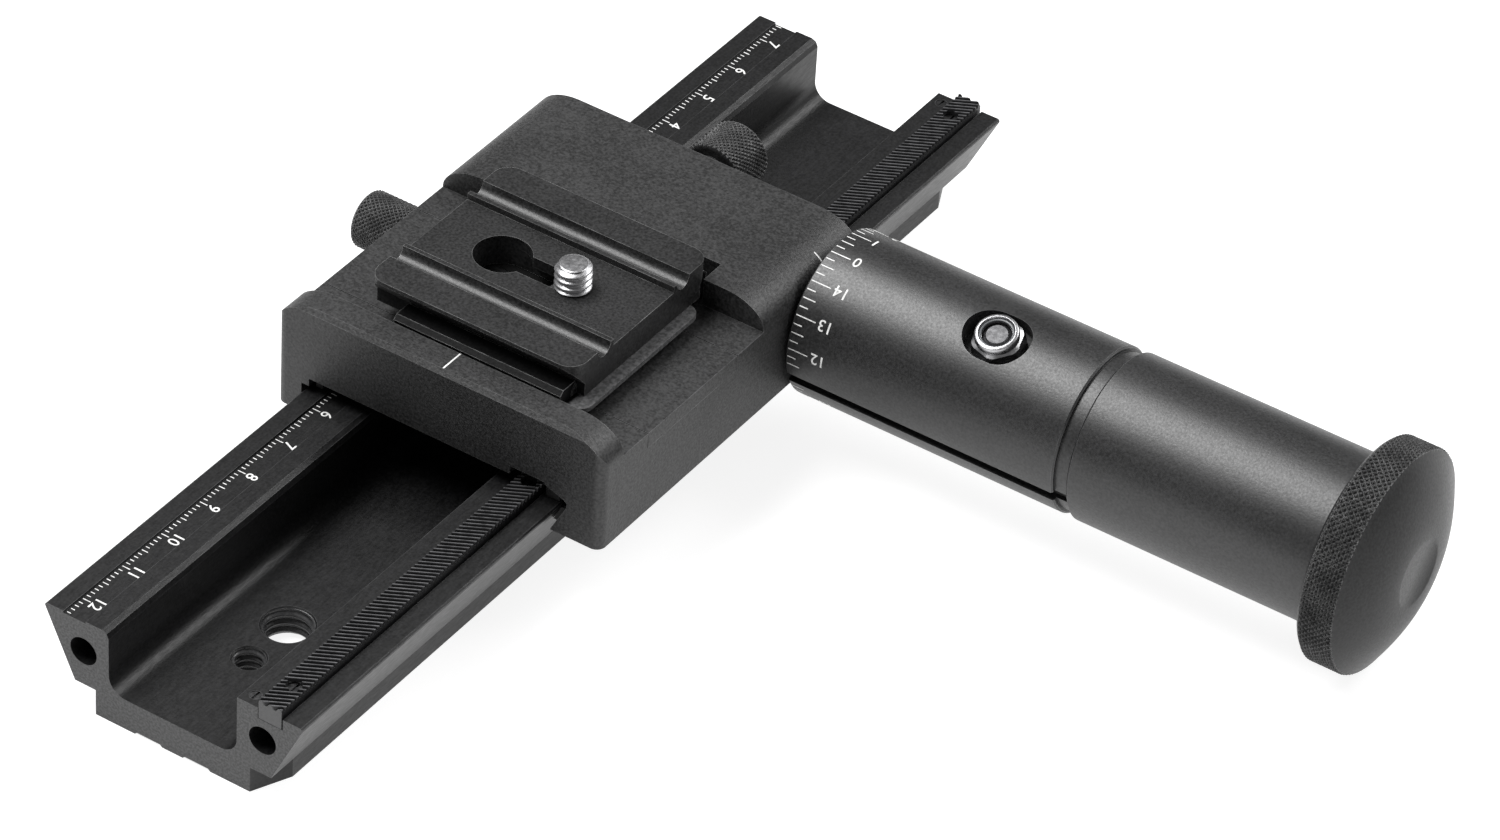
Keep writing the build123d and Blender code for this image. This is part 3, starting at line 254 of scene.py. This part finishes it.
def ledge_metal():
    """Clamp base: near-black painted shade inside its trough, with a bare milled ledge round its foot."""
    n = Nodes("machined_ledge")
    rim = n.span(n.axis("X"), (LEDGE_X - 0.2) * MM, (LEDGE_X + 0.2) * MM, 0.0, 1.0)
    fine = n.noise(1700.0, 2.0)
    bare = n.mix(n.span(fine, 0.35, 0.65, 0.0, 1.0), (0.06, 0.06, 0.061), (0.13, 0.13, 0.132))
    # near-black over the base short of LEDGE_X is painted shade; the bare milled strip beyond it is the
    # metal's own colour
    n.link(n.mix(rim, (0.004, 0.004, 0.004), bare), n.shader.inputs["Base Color"])
    n.link(n.span(fine, 0.3, 0.7, 0.45, 0.6), n.shader.inputs["Roughness"])
    n.shader.inputs["Specular IOR Level"].default_value = 0.12
    n.bump(fine, 0.012)
    return n.material


def paint():
    """White printed scale ink, slightly uneven."""
    n = Nodes("scale_paint")
    cover = n.span(n.noise(900.0, 4.0), 0.35, 0.65, 0.0, 1.0)
    n.link(n.mix(cover, (0.62, 0.62, 0.61), (0.86, 0.86, 0.85)), n.shader.inputs["Base Color"])
    n.link(n.span(n.noise(2500.0), 0.3, 0.7, 0.45, 0.6), n.shader.inputs["Roughness"])
    n.bump(n.noise(3000.0), 0.004)
    return n.material


def polymer(name, low, high, rough):
    """Moulded low-friction plastic with a fine matt grain."""
    n = Nodes(name)
    cloud = n.span(n.noise(120.0, 4.0), 0.3, 0.7, 0.0, 1.0)
    n.link(n.mix(cloud, low, high), n.shader.inputs["Base Color"])
    n.link(n.span(n.noise(1400.0), 0.3, 0.7, rough - 0.06, rough + 0.06), n.shader.inputs["Roughness"])
    n.bump(n.noise(1600.0), 0.006)
    return n.material


BLACK_LOW = (0.003, 0.003, 0.0031)
BLACK_HIGH = (0.033, 0.033, 0.0335)
# pale edge colour: partly wear, partly a painted highlight on the chamfers
WORN_AND_HIGHLIGHT = (0.11, 0.11, 0.112)

rail = rail_metal()
block = black_metal("block_anodised", BLACK_LOW, BLACK_HIGH, 0.5, 0.05, WORN_AND_HIGHLIGHT, 0.18).material
# pale edge colour on the plate: partly wear and partly a painted highlight along its top lip
plate_black = black_metal(
    "plate_anodised", BLACK_LOW, high=(0.024, 0.024, 0.0245), rough=0.4, grain=0.03, edge_wear_and_highlight=(0.24, 0.24, 0.24)
).material
# jaws: the near-black base is painted shade under the plate's lip, and the pale edge colour is a painted
# highlight on the jaw's chamfer
jaw_shade_black = black_metal(
    "jaw_anodised_painted_shade",
    BLACK_LOW,
    high=(0.007, 0.007, 0.0072),
    rough=0.36,
    grain=0.01,
    edge_wear_and_highlight=(0.3, 0.3, 0.3),
    edge_radius=0.2,
    spec=0.2,
).material
sleeve = black_metal(
    "turned_anodised",
    low=(0.002, 0.002, 0.0021),
    high=(0.019, 0.019, 0.0195),
    rough=0.44,
    grain=0.02,
    edge_wear_and_highlight=WORN_AND_HIGHLIGHT,
    edge_radius=0.14,
    spec=0.72,
).material
knurl = black_metal(
    "knurled_anodised",
    low=(0.006, 0.006, 0.0062),
    high=(0.018, 0.018, 0.0185),
    rough=0.4,
    grain=0.01,
    edge_wear_and_highlight=(0.2, 0.2, 0.2),
    edge_radius=0.2,
    spec=0.28,
).material
thread_metal = black_metal(
    "thread_anodised",
    low=(0.03, 0.03, 0.031),
    high=(0.05, 0.05, 0.051),
    rough=0.3,
    grain=0.003,
    edge_wear_and_highlight=(0.3, 0.3, 0.3),
    edge_radius=0.08,
).material
bright = bright_metal("plated_steel", (0.5, 0.5, 0.51), 0.3, 0.003).material
screw_steel = bright_metal("satin_screw", (0.46, 0.46, 0.47), 0.36, 0.003).material
ledge_and_shade = ledge_metal()
bronze = bright_metal("sintered_bronze", (0.45, 0.3, 0.14), 0.45, 0.01).material
dark_steel = bright_metal("black_steel", (0.09, 0.09, 0.095), 0.36, 0.004).material
small_screw = bright_metal("oiled_screw", (0.1, 0.1, 0.102), 0.34, 0.003).material
stud_steel = bright_metal("stud_end", (0.1, 0.1, 0.103), 0.45, 0.03).material
rack = rack_metal()
white = paint()
slide_polymer = polymer("slide_polymer", (0.02, 0.02, 0.021), (0.03, 0.03, 0.03), 0.5)
core_polymer = polymer("core_polymer", (0.008, 0.008, 0.008), (0.012, 0.012, 0.012), 0.55)
nylon = polymer("nylon_ring", (0.05, 0.055, 0.06), (0.09, 0.095, 0.1), 0.35)

FINISH = {
    "rail_extrusion": rail,
    "rack_strip": rack,
    "rack_screws": small_screw,
    "rib_screws": small_screw,
    "carriage_block": block,
    "seat_insert": block,
    "glide_pads": slide_polymer,
    "gib_strip": slide_polymer,
    "gib_screws": bright,
    "shaft_bush": bronze,
    "clamp_base": ledge_and_shade,
    "clamp_base_screws": small_screw,
    "fixed_jaw": jaw_shade_black,
    "fixed_jaw_screws": small_screw,
    "moving_jaw": jaw_shade_black,
    "clamp_screw": bright,
    "clamp_collar": sleeve,
    "lock_screw": bright,
    "brake_shoe": slide_polymer,
    "drive_shaft": bright,
    "pinion": bright,
    "retaining_ring": dark_steel,
    "thrust_washer": slide_polymer,
    "drive_core": core_polymer,
    "dial_sleeve": sleeve,
    "clamp_stud": stud_steel,
    "handle_tube": sleeve,
    "knob_cap": sleeve,
    "qr_plate": plate_black,
    "screw_washer": slide_polymer,
}
for node, material in FINISH.items():
    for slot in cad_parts[node].material_slots:
        slot.material = material


# ---- Mesh helpers -----------------------------------------------------------------------------------
def piece(name, verts, faces, material, body, slot_name, smooth_deg=None):
    """A mesh from points in millimetres, riding on a body."""
    mesh = bpy.data.meshes.new(name)
    mesh.from_pydata([(x * MM, y * MM, z * MM) for x, y, z in verts], [], faces)
    mesh.materials.append(material)
    mesh.validate()
    mesh.update()
    if smooth_deg is not None:
        mesh.polygons.foreach_set("use_smooth", [True] * len(mesh.polygons))
        mesh.set_sharp_from_angle(angle=math.radians(smooth_deg))
    obj = bpy.data.objects.new(name, mesh)
    bpy.context.scene.collection.objects.link(obj)
    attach(obj, body)
    return obj


def turned(origin, axis, up):
    """Function from (along, radius, angle) to a point of a turned part, in millimetres."""
    axis = Vector(axis)
    up = Vector(up)
    side = axis.cross(up)
    origin = Vector(origin)

    def place(along, radius, angle):
        return tuple(origin + axis * along + (up * math.cos(angle) + side * math.sin(angle)) * radius)

    return place


def revolve(name, place, rows, around, material, body, slot_name, relief=None, smooth_deg=40):
    """A closed turned part. rows are (along, radius, knurled); relief(along, angle) lowers knurled rows."""
    verts = []
    for along, radius, knurled in rows:
        for k in range(around):
            angle = 2 * math.pi * k / around
            cut = relief(along, angle) if relief and knurled else 0.0
            verts.append(place(along, radius - cut, angle))
    faces = []
    for i in range(len(rows) - 1):
        for k in range(around):
            a = i * around + k
            b = i * around + (k + 1) % around
            faces.append((a, b, b + around, a + around))
    first, last = len(verts), len(verts) + 1
    verts.append(place(rows[0][0], 0.0, 0.0))
    verts.append(place(rows[-1][0], 0.0, 0.0))
    end = (len(rows) - 1) * around
    for k in range(around):
        faces.append((first, (k + 1) % around, k))
        faces.append((last, end + k, end + (k + 1) % around))
    return piece(name, verts, faces, material, body, slot_name, smooth_deg)


def diamond(radius, pitch, depth):
    """Relief of a crossed knurl: grooves at 45 degrees both ways, leaving small pyramids."""
    count = round(2 * math.pi * radius / pitch)

    def wave(turns):
        return 1.0 - abs(2.0 * (turns - math.floor(turns)) - 1.0)

    def relief(along, angle):
        u = count * angle / (2 * math.pi)
        v = along * count / (2 * math.pi * radius)
        high = min(wave(u + v), wave(u - v))
        return depth * (1.0 - min(1.0, high * 1.5))

    return relief


def steps(low, high, pitch):
    """Evenly spaced values from low to high, both ends included, at about that pitch."""
    count = max(1, round((high - low) / pitch))
    return [low + (high - low) * k / count for k in range(count + 1)]


# ---- Knurled knobs ----------------------------------------------------------------------------------
def end_knob():
    """Large end knob: knurled rim, chamfered edges, and a smooth dome with a small flat."""
    plug_end, plug_radius = 124.0, 13.15
    left, rim, radius, face, flat = 134.4, 141.1, 19.7, 145.5, 5.7
    edge = radius - 0.75
    rows = [(plug_end, 10.5, False), (plug_end, plug_radius, False), (left, plug_radius, False)]
    rows += [(left, 15.2, False), (left, edge, False), (left + 0.12, radius - 0.62, False)]
    rows += [(left + 0.45, radius - 0.3, False)]
    rows += [(x, radius, True) for x in steps(left + 0.6, rim - 0.35, 0.13)]
    rows += [(rim - 0.2, radius - 0.3, False), (rim + 0.02, edge, False)]
    # dome: rises fastest at the rim, with a slight swell halfway
    rings = 24
    for k in range(1, rings + 1):
        t = k / rings
        rise = (face - rim) * (1 - (1 - t) ** 1.7) * 0.995
        swell = 0.114 * math.sin(math.pi * t)
        rows.append((rim + 0.02 + rise + swell, edge + (flat - edge) * t, False))
    rows += [(face - 0.04, flat - 0.06, False)]
    place = turned((0, DRIVE_Y, DRIVE_Z), RIGHT, BACK)
    relief = diamond(radius, 1.15, 0.5)
    knob = revolve("end_knob_knurled", place, rows, 900, knurl, "drive", "knurled_black", relief, 50)
    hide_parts("end_knob")


def small_knob(name, node, body, place, start, end, radius):
    """Short clamping knob, knurled along its whole side, with a turned face."""
    rows = [(start, radius - 1.0, False), (start + 0.02, radius - 0.7, False)]
    rows += [(start + 0.35, radius - 0.28, False)]
    rows += [(x, radius, True) for x in steps(start + 0.5, end - 0.5, 0.1)]
    rows += [(end - 0.35, radius - 0.28, False), (end - 0.02, radius - 0.7, False)]
    rows += [(end, radius - 1.0, False), (end, radius - 2.2, False), (end - 0.15, radius - 2.4, False)]
    relief = diamond(radius, 0.95, 0.4)
    knob = revolve(name, place, rows, 360, knurl, body, "knurled_black", relief, 50)
    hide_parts(node)


end_knob()
lock_place = turned((0, LOCK_Y, LOCK_Z), (-1, 0, 0), BACK)
small_knob("lock_knob_knurled", "lock_knob", "lock", lock_place, start=33.5, end=45.0, radius=5.2)
clamp_place = turned((CLAMP_X, 0, CLAMP_Z), BACK, RIGHT)
small_knob("clamp_knob_knurled", "clamp_knob", "clamp", clamp_place, start=43.0, end=52.0, radius=5.8)


# ---- Threads ----------------------------------------------------------------------------------------
def thread_wave(turns):
    """0 at the crest and 1 at the root of a rounded 60 degree thread."""
    t = turns - math.floor(turns)
    return 0.5 + 0.5 * math.cos(2 * math.pi * t)


def camera_screw():
    """Quarter-inch camera screw with its real thread, a thin neck and a flat head."""
    radius, depth, neck, head = 3.17, 0.62, 2.1, 4.6
    head_low, head_top, low, top = 33.3, 35.2, 38.8, 43.2

    def relief(along, angle):
        fade = min(1.0, (along - low) / 0.5)
        return depth * fade * thread_wave(along / QUARTER_PITCH - angle / (2 * math.pi))

    rows = [(head_low, head - 0.4, False), (head_low + 0.2, head, False), (head_top - 0.2, head, False)]
    rows += [(head_top, head - 0.2, False), (head_top, neck, False), (low, neck, False), (low, 2.7, False)]
    rows += [(z, radius, True) for z in steps(low + 0.02, top - 0.75, 0.07)]
    rows += [(top - 0.7 + 0.1 * k, radius - 0.09 * k, True) for k in range(1, 6)]
    rows += [(top - 0.12, 2.42, False), (top - 0.02, 2.25, False), (top, 2.1, False)]
    place = turned((SCREW_X, PLATE_Y, 0), UP, RIGHT)
    screw = revolve(
        "camera_screw_threaded",
        place,
        rows,
        around=120,
        material=screw_steel,
        body="screw",
        slot_name="bright_screw",
        relief=relief,
        smooth_deg=60,
    )
    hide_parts("camera_screw")


def tripod_thread(name, y, radius, pitch):
    """Thread ridges lining a tripod hole, as a thin sleeve against its wall."""
    around, low, high = 120, 0.65, 5.7
    levels = steps(low, high, 0.08)
    place = turned((0, y, 0), UP, RIGHT)
    verts = []
    for z in levels:
        edge = min(1.0, (z - low) / 0.3, (high - z) / 0.3)
        for k in range(around):
            angle = 2 * math.pi * k / around
            ridge = 0.35 * pitch * (1 - thread_wave(z / pitch - angle / (2 * math.pi)))
            verts.append(place(z, radius - 0.02 - ridge * max(0.05, edge), angle))
    verts += [place(z, radius + 0.05, 2 * math.pi * k / around) for z in levels for k in range(around)]
    faces = []
    shell = len(levels) * around
    for i in range(len(levels) - 1):
        for k in range(around):
            a, b = i * around + k, i * around + (k + 1) % around
            faces.append((a, a + around, b + around, b))
            faces.append((shell + a, shell + b, shell + b + around, shell + a + around))
    for base in (0, (len(levels) - 1) * around):
        for k in range(around):
            a, b = base + k, base + (k + 1) % around
            rim = (a, b, shell + b, shell + a)
            faces.append(rim if base == 0 else rim[::-1])
    piece(name, verts, faces, thread_metal, "rail", "black_anodised", 60)


camera_screw()
tripod_thread("tripod_thread_large", THREE_EIGHTHS_HOLE_Y, THREE_EIGHTHS_HOLE_RADIUS, THREE_EIGHTHS_PITCH)
tripod_thread("tripod_thread_small", QUARTER_HOLE_Y, QUARTER_HOLE_RADIUS, QUARTER_PITCH)


# ---- Lock nut on the sleeve -------------------------------------------------------------------------
def ring(place, rows, around):
    """Points and faces of a turned ring.

    rows go once round its section: (along, radius), where a radius may be a function of the angle.
    """
    verts = []
    for along, radius in rows:
        for k in range(around):
            angle = 2 * math.pi * k / around
            verts.append(place(along, radius(angle) if callable(radius) else radius, angle))
    faces = []
    for i in range(len(rows)):
        j = (i + 1) % len(rows)
        for k in range(around):
            m = (k + 1) % around
            faces.append((i * around + k, i * around + m, j * around + m, j * around + k))
    return verts, faces


def lock_nut():
    """Locking nut: hexagon with turned corners, a rolled collar and a nylon ring."""
    tilt = math.radians(NUT_TILT_DEG)
    out = (0, math.cos(tilt), math.sin(tilt))
    seat = Vector((NUT_X, DRIVE_Y, DRIVE_Z)) + Vector(out) * NUT_SEAT
    place = turned(seat, out, RIGHT)
    around, half_flats, bore = 96, 4.0, 2.52

    def hexagon(angle):
        third = ((angle + math.pi / 12) % (math.pi / 3)) - math.pi / 6
        return half_flats / math.cos(third)

    def cut_corners(limit):
        return lambda angle: min(hexagon(angle), limit)

    rows = [(0, cut_corners(4.35)), (0.4, hexagon), (2.7, hexagon), (3.25, cut_corners(4.3)), (3.6, 3.6)]
    rows += [(3.6, 3.75), (4.4, 3.75), (4.75, 3.6), (4.92, 3.3), (4.92, 3.1), (4.7, 2.95)]
    rows += [(4.2, 2.9), (4.2, bore), (0, bore)]
    nut = piece("clamp_nut_locking", *ring(place, rows, around), bright, "drive", "bright_screw", 35)
    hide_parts("clamp_nut")
    rows = [(4.22, 2.9), (4.5, 2.88), (4.55, 2.75), (4.45, 2.55), (4.22, 2.53)]
    piece("clamp_nut_nylon", *ring(place, rows, around), nylon, "drive", "polymer", 50)


lock_nut()


# ---- Printed scales ---------------------------------------------------------------------------------
def slab(verts, faces, corners, lift):
    """Adds a thin printed bar. corners are four points; lift is the paint's thickness as a vector."""
    base = len(verts)
    verts += [tuple(c) for c in corners]
    verts += [tuple(Vector(c) + Vector(lift)) for c in corners]
    faces.append((base, base + 3, base + 2, base + 1))
    faces.append((base + 4, base + 5, base + 6, base + 7))
    for k in range(4):
        m = (k + 1) % 4
        faces.append((base + k, base + m, base + 4 + m, base + 4 + k))


def digits(text, size, strips=0):
    """Thin outline mesh of a number, centred, size millimetres tall: (vertices, faces).

    strips cuts it into that many bands across its height, so it can wrap round a cylinder.
    """
    curve = bpy.data.curves.new("number", "FONT")
    curve.body = text
    curve.size = size
    curve.offset = 0.006 * size
    curve.resolution_u = 3
    curve.extrude = PAINT / 2
    obj = bpy.data.objects.new("number", curve)
    bpy.context.scene.collection.objects.link(obj)
    mesh = bpy.data.meshes.new_from_object(obj.evaluated_get(bpy.context.evaluated_depsgraph_get()))
    shape = bmesh.new()
    shape.from_mesh(mesh)
    low = min(v.co.y for v in shape.verts)
    high = max(v.co.y for v in shape.verts)
    left = min(v.co.x for v in shape.verts)
    right = max(v.co.x for v in shape.verts)
    grow = size / (high - low)
    for v in shape.verts:
        v.co.x = (v.co.x - (left + right) / 2) * grow
        v.co.y = (v.co.y - (low + high) / 2) * grow
    for k in range(1, strips):
        cut = size * (k / strips - 0.5)
        everything = shape.verts[:] + shape.edges[:] + shape.faces[:]
        bmesh.ops.bisect_plane(shape, geom=everything, plane_co=(0, cut, 0), plane_no=(0, 1, 0))
    shape.verts.index_update()
    verts = [tuple(v.co) for v in shape.verts]
    faces = [tuple(v.index for v in face.verts) for face in shape.faces]
    shape.free()
    bpy.data.objects.remove(obj)
    bpy.data.curves.remove(curve)
    bpy.data.meshes.remove(mesh)
    return verts, faces


def rail_scale():
    """Millimetre scale in the rail's groove, numbered in centimetres both ways from its zero."""
    verts, faces = [], []
    z = SCALE_FLOOR + PRINT_GAP
    half, number_size, number_x = 0.085, 2.1, -18.3
    for n in range(SCALE_FIRST, SCALE_LAST + 1):
        y = SCALE_ZERO_Y + n
        end_x = SCALE_START_X + (1.5 if n % 10 == 0 else 1.15 if n % 5 == 0 else 0.75)
        corners = [
            (SCALE_START_X, y - half, z),
            (end_x, y - half, z),
            (end_x, y + half, z),
            (SCALE_START_X, y + half, z),
        ]
        slab(verts, faces, corners, (0, 0, PAINT))
    for n in range(math.ceil(SCALE_FIRST / 10), SCALE_LAST // 10 + 1):
        shape, outline = digits(str(abs(n)), number_size)
        base = len(verts)
        y0 = SCALE_ZERO_Y + 10 * n
        verts += [(number_x + y, y0 - x, z + PAINT / 2 + h) for x, y, h in shape]
        faces += [tuple(base + v for v in face) for face in outline]
    piece("rail_scale_print", verts, faces, white, "rail", "scale_white")


def dial_scale():
    """Dial of one turn, numbered every millimetre of travel, printed round the sleeve's inner end."""
    place = turned((0, DRIVE_Y, DRIVE_Z), RIGHT, BACK)
    radius = DIAL_RADIUS + 2 * PRINT_GAP
    lengths = (3.75, 1.6, 2.35, 1.6)  # of the marks from one number up to the next
    half = 0.095 / radius
    verts, faces = [], []
    for n in range(DIAL_NUMBERS * MARKS_PER_NUMBER):
        degrees = (DIAL_ZERO_DEG - DIAL_STEP_DEG * n / MARKS_PER_NUMBER) % 360
        if DIAL_GAP_DEG[0] < degrees < DIAL_GAP_DEG[1]:
            continue
        angle = math.radians(degrees)
        end_x = DIAL_START_X + lengths[n % MARKS_PER_NUMBER]
        corners = [
            place(DIAL_START_X, radius, angle + half),
            place(DIAL_START_X, radius, angle - half),
            place(end_x, radius, angle - half),
            place(end_x, radius, angle + half),
        ]
        outward = Vector((0, math.cos(angle), math.sin(angle))) * PAINT
        slab(verts, faces, corners, outward)
    for n in range(DIAL_NUMBERS):
        degrees = (DIAL_ZERO_DEG - DIAL_STEP_DEG * n) % 360
        if DIAL_GAP_DEG[0] < degrees < DIAL_GAP_DEG[1]:
            continue
        middle = math.radians(degrees)
        shape, outline = digits(str(n), 2.0, 6)
        base = len(verts)
        width = max(x for x, y, h in shape)
        centre = DIAL_START_X + lengths[0] + 0.65 + width
        for x, y, h in shape:
            verts.append(place(centre - x, radius + PAINT / 2 + h, middle + y / radius))
        faces += [tuple(base + v for v in face) for face in outline]
    piece("dial_scale_print", verts, faces, white, "drive", "scale_white")


def front_mark():
    """Reading mark across the top of the front block."""
    middle_x, half, front_y, back_y = 2.0, 0.14, -32.05, -27.35
    z = FRONT_TOP_Z + PRINT_GAP
    corners = [
        (middle_x - half, front_y, z),
        (middle_x + half, front_y, z),
        (middle_x + half, back_y, z),
        (middle_x - half, back_y, z),
    ]
    verts, faces = [], []
    slab(verts, faces, corners, (0, 0, PAINT))
    piece("front_index_print", verts, faces, white, "carriage", "scale_white")


def shoulder_mark():
    """Reading mark for the dial, laid over the carriage's rounded shoulder."""
    verts, faces = [], []
    count, start_x, length = 10, 31.2, 2.1
    middle_y, half = 31.2, 0.12
    for k in range(count + 1):
        x = start_x + length * k / count
        t = min(1.0, (x - SHOULDER_X) / SHOULDER_RUN)
        drop = math.sqrt(max(0.0, 1 - t * t))
        z = SHOULDER_Z + SHOULDER_RISE * drop + 2 * PRINT_GAP
        normal = Vector((t / SHOULDER_RUN, 0, drop / SHOULDER_RISE)).normalized()
        for y in (middle_y - half, middle_y + half):
            verts.append((x, y, z))
            verts.append(tuple(Vector((x, y, z)) + normal * PAINT))
    for k in range(count):
        a = 4 * k
        faces += [(a + 1, a + 5, a + 7, a + 3), (a, a + 2, a + 6, a + 4)]
        faces += [(a, a + 4, a + 5, a + 1), (a + 2, a + 3, a + 7, a + 6)]
    last = 4 * count
    faces += [(0, 1, 3, 2), (last, last + 2, last + 3, last + 1)]
    piece("dial_index_print", verts, faces, white, "carriage", "scale_white")


rail_scale()
dial_scale()
front_mark()
shoulder_mark()


# ---- Floor, light and camera ------------------------------------------------------------------------
def floor():
    """Plain pale table top."""
    n = Nodes("pale_table")
    tone = n.span(n.noise(3.0), 0.3, 0.7, 0.0, 1.0)
    n.link(n.mix(tone, (0.36, 0.36, 0.36), (0.40, 0.40, 0.40)), n.shader.inputs["Base Color"])
    n.shader.inputs["Roughness"].default_value = 0.8
    n.shader.inputs["Specular IOR Level"].default_value = 0.2
    n.shader.inputs["Emission Color"].default_value = (1.0, 1.0, 1.0, 1.0)
    n.shader.inputs["Emission Strength"].default_value = 0.86
    mesh = bpy.data.meshes.new("table_top")
    half = 6  # metres
    corners = [(-half, -half, 0), (half, -half, 0), (half, half, 0), (-half, half, 0)]
    mesh.from_pydata(corners, [], [(0, 1, 2, 3)])
    mesh.materials.append(n.material)
    obj = bpy.data.objects.new("table_top", mesh)
    bpy.context.scene.collection.objects.link(obj)


def softbox(name, place, target, size, power):
    """Rectangular area light in metres, aimed at target."""
    light = bpy.data.lights.new(name, "AREA")
    light.shape = "RECTANGLE"
    light.size, light.size_y = size
    light.energy = power
    obj = bpy.data.objects.new(name, light)
    obj.location = place
    obj.rotation_euler = (Vector(target) - Vector(place)).to_track_quat("-Z", "Y").to_euler()
    bpy.context.scene.collection.objects.link(obj)


def camera():
    """Long lens above the front right, level but for a slight roll."""
    azimuth, elevation, roll = (math.radians(v) for v in (31.585, 38.602, 3.779))
    place = Vector((0.51071, -0.76526, 0.73995))
    level = Vector((math.cos(azimuth), math.sin(azimuth), 0))
    away = Vector((math.sin(azimuth), -math.cos(azimuth), 0))
    back = away * math.cos(elevation) + Vector(UP) * math.sin(elevation)
    upright = back.cross(level)
    right = level * math.cos(roll) + upright * math.sin(roll)
    up = upright * math.cos(roll) - level * math.sin(roll)
    data = bpy.data.cameras.new("camera")
    data.lens = 171.1
    data.sensor_width = 36.0
    data.clip_start = 0.02
    data.clip_end = 50.0
    obj = bpy.data.objects.new("camera", data)
    rotation = Matrix((right, up, back)).transposed().to_4x4()
    obj.matrix_world = Matrix.Translation(place) @ rotation
    bpy.context.scene.collection.objects.link(obj)
    bpy.context.scene.camera = obj


def surroundings():
    """Even white light from all round, and plain display colours."""
    world = bpy.data.worlds.new("studio")
    world.use_nodes = True
    background = world.node_tree.nodes["Background"]
    background.inputs["Color"].default_value = (1.0, 1.0, 1.0, 1.0)
    background.inputs["Strength"].default_value = 0.2
    bpy.context.scene.world = world
    bpy.context.scene.view_settings.view_transform = "Standard"


floor()
softbox("key", place=(-0.53, -0.16, 1.2), target=(0.03, 0.0, 0.02), size=(1.0, 0.7), power=25.0)
softbox("side", place=(1.3, 0.3, 0.7), target=(0.05, 0.0, 0.02), size=(0.6, 0.6), power=1.2)
softbox("back", place=(0.5, 0.85, 0.85), target=(0.0, 0.0, 0.02), size=(0.7, 0.7), power=9.0)
camera()
surroundings()
